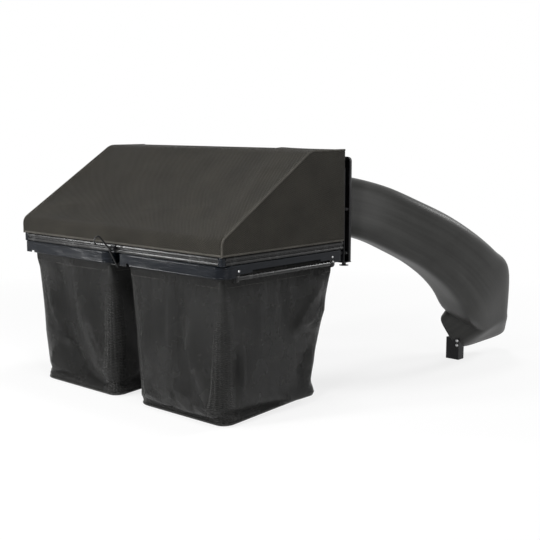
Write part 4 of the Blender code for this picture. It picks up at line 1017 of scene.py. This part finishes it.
def chute_skin():
    """The chute's outside, from the flange to the skirt, and its bore back again."""
    shape = square_ring(112, CHUTE_CORNER)
    stations = chute_stations()
    tube = blend_stations(stations[:-1], 7)
    crease, mouth = stations[-2:]
    run = [(station, 0.0) for station in tube]
    for share, flare in ((0.06, 0.0014), (0.15, 0.0032), (0.30, 0.0040),
                         (0.55, 0.0043), (0.80, 0.0048), (1.0, 0.0050)):
        run.append(([a + (b - a) * share for a, b in zip(crease, mouth)], flare))
    rows = []
    uvs = []

    def add(station, grow, along):
        centre, side, up, skew = station
        row = []
        for u, v in shape:
            ug = u * (1 + grow / side.length)
            vg = v * (1 + grow / up.length)
            row.append(centre + side * ug + up * vg + skew * ug * vg)
        rows.append(row)
        uvs.append([(0.78 * k / len(shape), along) for k in range(len(shape) + 1)])

    inlet = run[0][0]
    seat = [inlet[0] - Vector((0, CHUTE_WALL, 0))] + inlet[1:]
    add(seat, CHUTE_FLANGE, -0.03)
    add(inlet, CHUTE_FLANGE, -0.02)
    add(inlet, CHUTE_FLANGE - 0.001, -0.019)
    add(inlet, 0.004, -0.004)
    along = 0.0
    previous = inlet[0]
    for number, (station, flare) in enumerate(run):
        along += (station[0] - previous).length
        previous = station[0]
        if number == 0:
            raised = [station[0] + Vector((0, 0.0040, 0))] + station[1:]
            add([station[0] + Vector((0, 0.0012, 0))] + station[1:], 0.0012, 0.0)
            add(raised, 0.0, 0.004)
            continue
        add(station, flare, along)
    add(run[-1][0], SKIRT_FLARE - 0.0012, along + 0.002)
    for station, flare in run[:0:-1]:
        add(station, flare - CHUTE_WALL, along)
        along -= 0.012
    add(seat, -CHUTE_WALL, 0.0)
    rows.append(rows[0])
    uvs.append(uvs[0])
    made = grid_piece("chute_skin", rows, uvs, CHUTE_PLASTIC, around=True)
    merge = made.modifiers.new("merge", "WELD")
    merge.merge_threshold = 0.00001
    return made


chute = chute_skin()
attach(chute, "frame")
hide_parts(*CHUTE_LENGTHS)


# Floor, lights

def white_rays(tree):
    """1 for the rays that see the background as white: camera, glossy and transmission."""
    rays = tree.nodes.new("ShaderNodeLightPath")
    seen = rays.outputs["Is Camera Ray"]
    for kind in ("Is Glossy Ray", "Is Transmission Ray"):
        larger = tree.nodes.new("ShaderNodeMath")
        larger.operation = "MAXIMUM"
        tree.links.new(seen, larger.inputs[0])
        tree.links.new(rays.outputs[kind], larger.inputs[1])
        seen = larger.outputs[0]
    return seen


def mix_shaders(tree, share, plain, white, out):
    """Link two shaders to the output, mixed by a share."""
    mixed = tree.nodes.new("ShaderNodeMixShader")
    tree.links.new(share, mixed.inputs[0])
    tree.links.new(plain.outputs[0], mixed.inputs[1])
    tree.links.new(white.outputs[0], mixed.inputs[2])
    tree.links.new(mixed.outputs[0], out.inputs[0])


def background_material(name, colour, strength):
    """White to the camera and in reflections, plain and shadowed otherwise."""
    made = bpy.data.materials.new(name)
    made.use_nodes = True
    tree = made.node_tree
    tree.nodes.clear()
    out = tree.nodes.new("ShaderNodeOutputMaterial")
    diffuse = tree.nodes.new("ShaderNodeBsdfDiffuse")
    diffuse.inputs[0].default_value = (*colour, 1.0)
    glow = tree.nodes.new("ShaderNodeEmission")
    glow.inputs[1].default_value = strength
    place = tree.nodes.new("ShaderNodeNewGeometry")
    reach = tree.nodes.new("ShaderNodeVectorMath")
    reach.operation = "LENGTH"
    tree.links.new(place.outputs["Position"], reach.inputs[0])
    fade = tree.nodes.new("ShaderNodeMapRange")
    fade.clamp = True
    for key, value in (("From Min", 0.9), ("From Max", 2.6), ("To Min", 0.80), ("To Max", 1.0)):
        fade.inputs[key].default_value = value
    tree.links.new(reach.outputs["Value"], fade.inputs["Value"])
    share = tree.nodes.new("ShaderNodeMath")
    share.operation = "MULTIPLY"
    tree.links.new(white_rays(tree), share.inputs[0])
    tree.links.new(fade.outputs["Result"], share.inputs[1])
    mix_shaders(tree, share.outputs[0], diffuse, glow, out)
    return made


low = cad_box[0][2]
mesh = bpy.data.meshes.new("floor")
mesh.from_pydata([(x * FLOOR_REACH, y * FLOOR_REACH, low) for x, y in ((-1, -1), (1, -1), (1, 1), (-1, 1))],
                 [], [(0, 1, 2, 3)])
mesh.materials.append(background_material("floor_white", (0.90, 0.90, 0.90), 1.0))
floor = bpy.data.objects.new("floor", mesh)
scene.collection.objects.link(floor)

world = bpy.data.worlds.new("studio")
scene.world = world
world.use_nodes = True
tree = world.node_tree
tree.nodes.clear()
out = tree.nodes.new("ShaderNodeOutputWorld")
backgrounds = []
for strength in (0.10, 1.0):
    background = tree.nodes.new("ShaderNodeBackground")
    background.inputs[0].default_value = (1, 1, 1, 1)
    background.inputs[1].default_value = strength
    backgrounds.append(background)
soft, white = backgrounds
mix_shaders(tree, white_rays(tree), soft, white, out)


def lamp(name, at, aim, size, power, height=None):
    """An area lamp that looks at a point."""
    data = bpy.data.lights.new(name, "AREA")
    data.shape = "RECTANGLE"
    data.size = size
    data.size_y = height or size
    data.energy = power
    made = bpy.data.objects.new(name, data)
    made.location = at
    direction = Vector(aim) - Vector(at)
    made.rotation_euler = direction.to_track_quat("-Z", "Y").to_euler()
    scene.collection.objects.link(made)
    return made


lamp("key", (-1.0, -3.6, 0.9), (0.0, -0.5, 0.0), 0.6, 115, height=2.0)
lamp("left", (-2.4, -2.6, 0.6), (0.0, -0.5, -0.1), 0.30, 75, height=1.9)
lamp("right", (3.3, -1.2, 0.7), (0.3, 0.0, 0.0), 0.5, 34, height=2.0)
lamp("near", (0.75, -1.1, 0.75), (0.1, -0.35, 0.1), 0.25, 7)
lamp("top", (0.3, 0.2, 3.0), (0.1, 0.0, 0.0), 0.8, 34)
lamp("far", (1.6, 2.9, 1.6), (0.2, 0.3, 0.0), 0.8, 60)

camera_data = bpy.data.cameras.new("camera")
camera_data.lens = 67.69
camera_data.sensor_width = 36.0
camera = bpy.data.objects.new("camera", camera_data)
camera.location = (2.458, -1.951 + REAR_Y, 0.392)
camera.rotation_euler = (math.radians(90 - 8.447), 0.0, math.radians(42.73))
scene.collection.objects.link(camera)
scene.camera = camera

scene.view_settings.view_transform = "Standard"

bpy.context.view_layer.update()
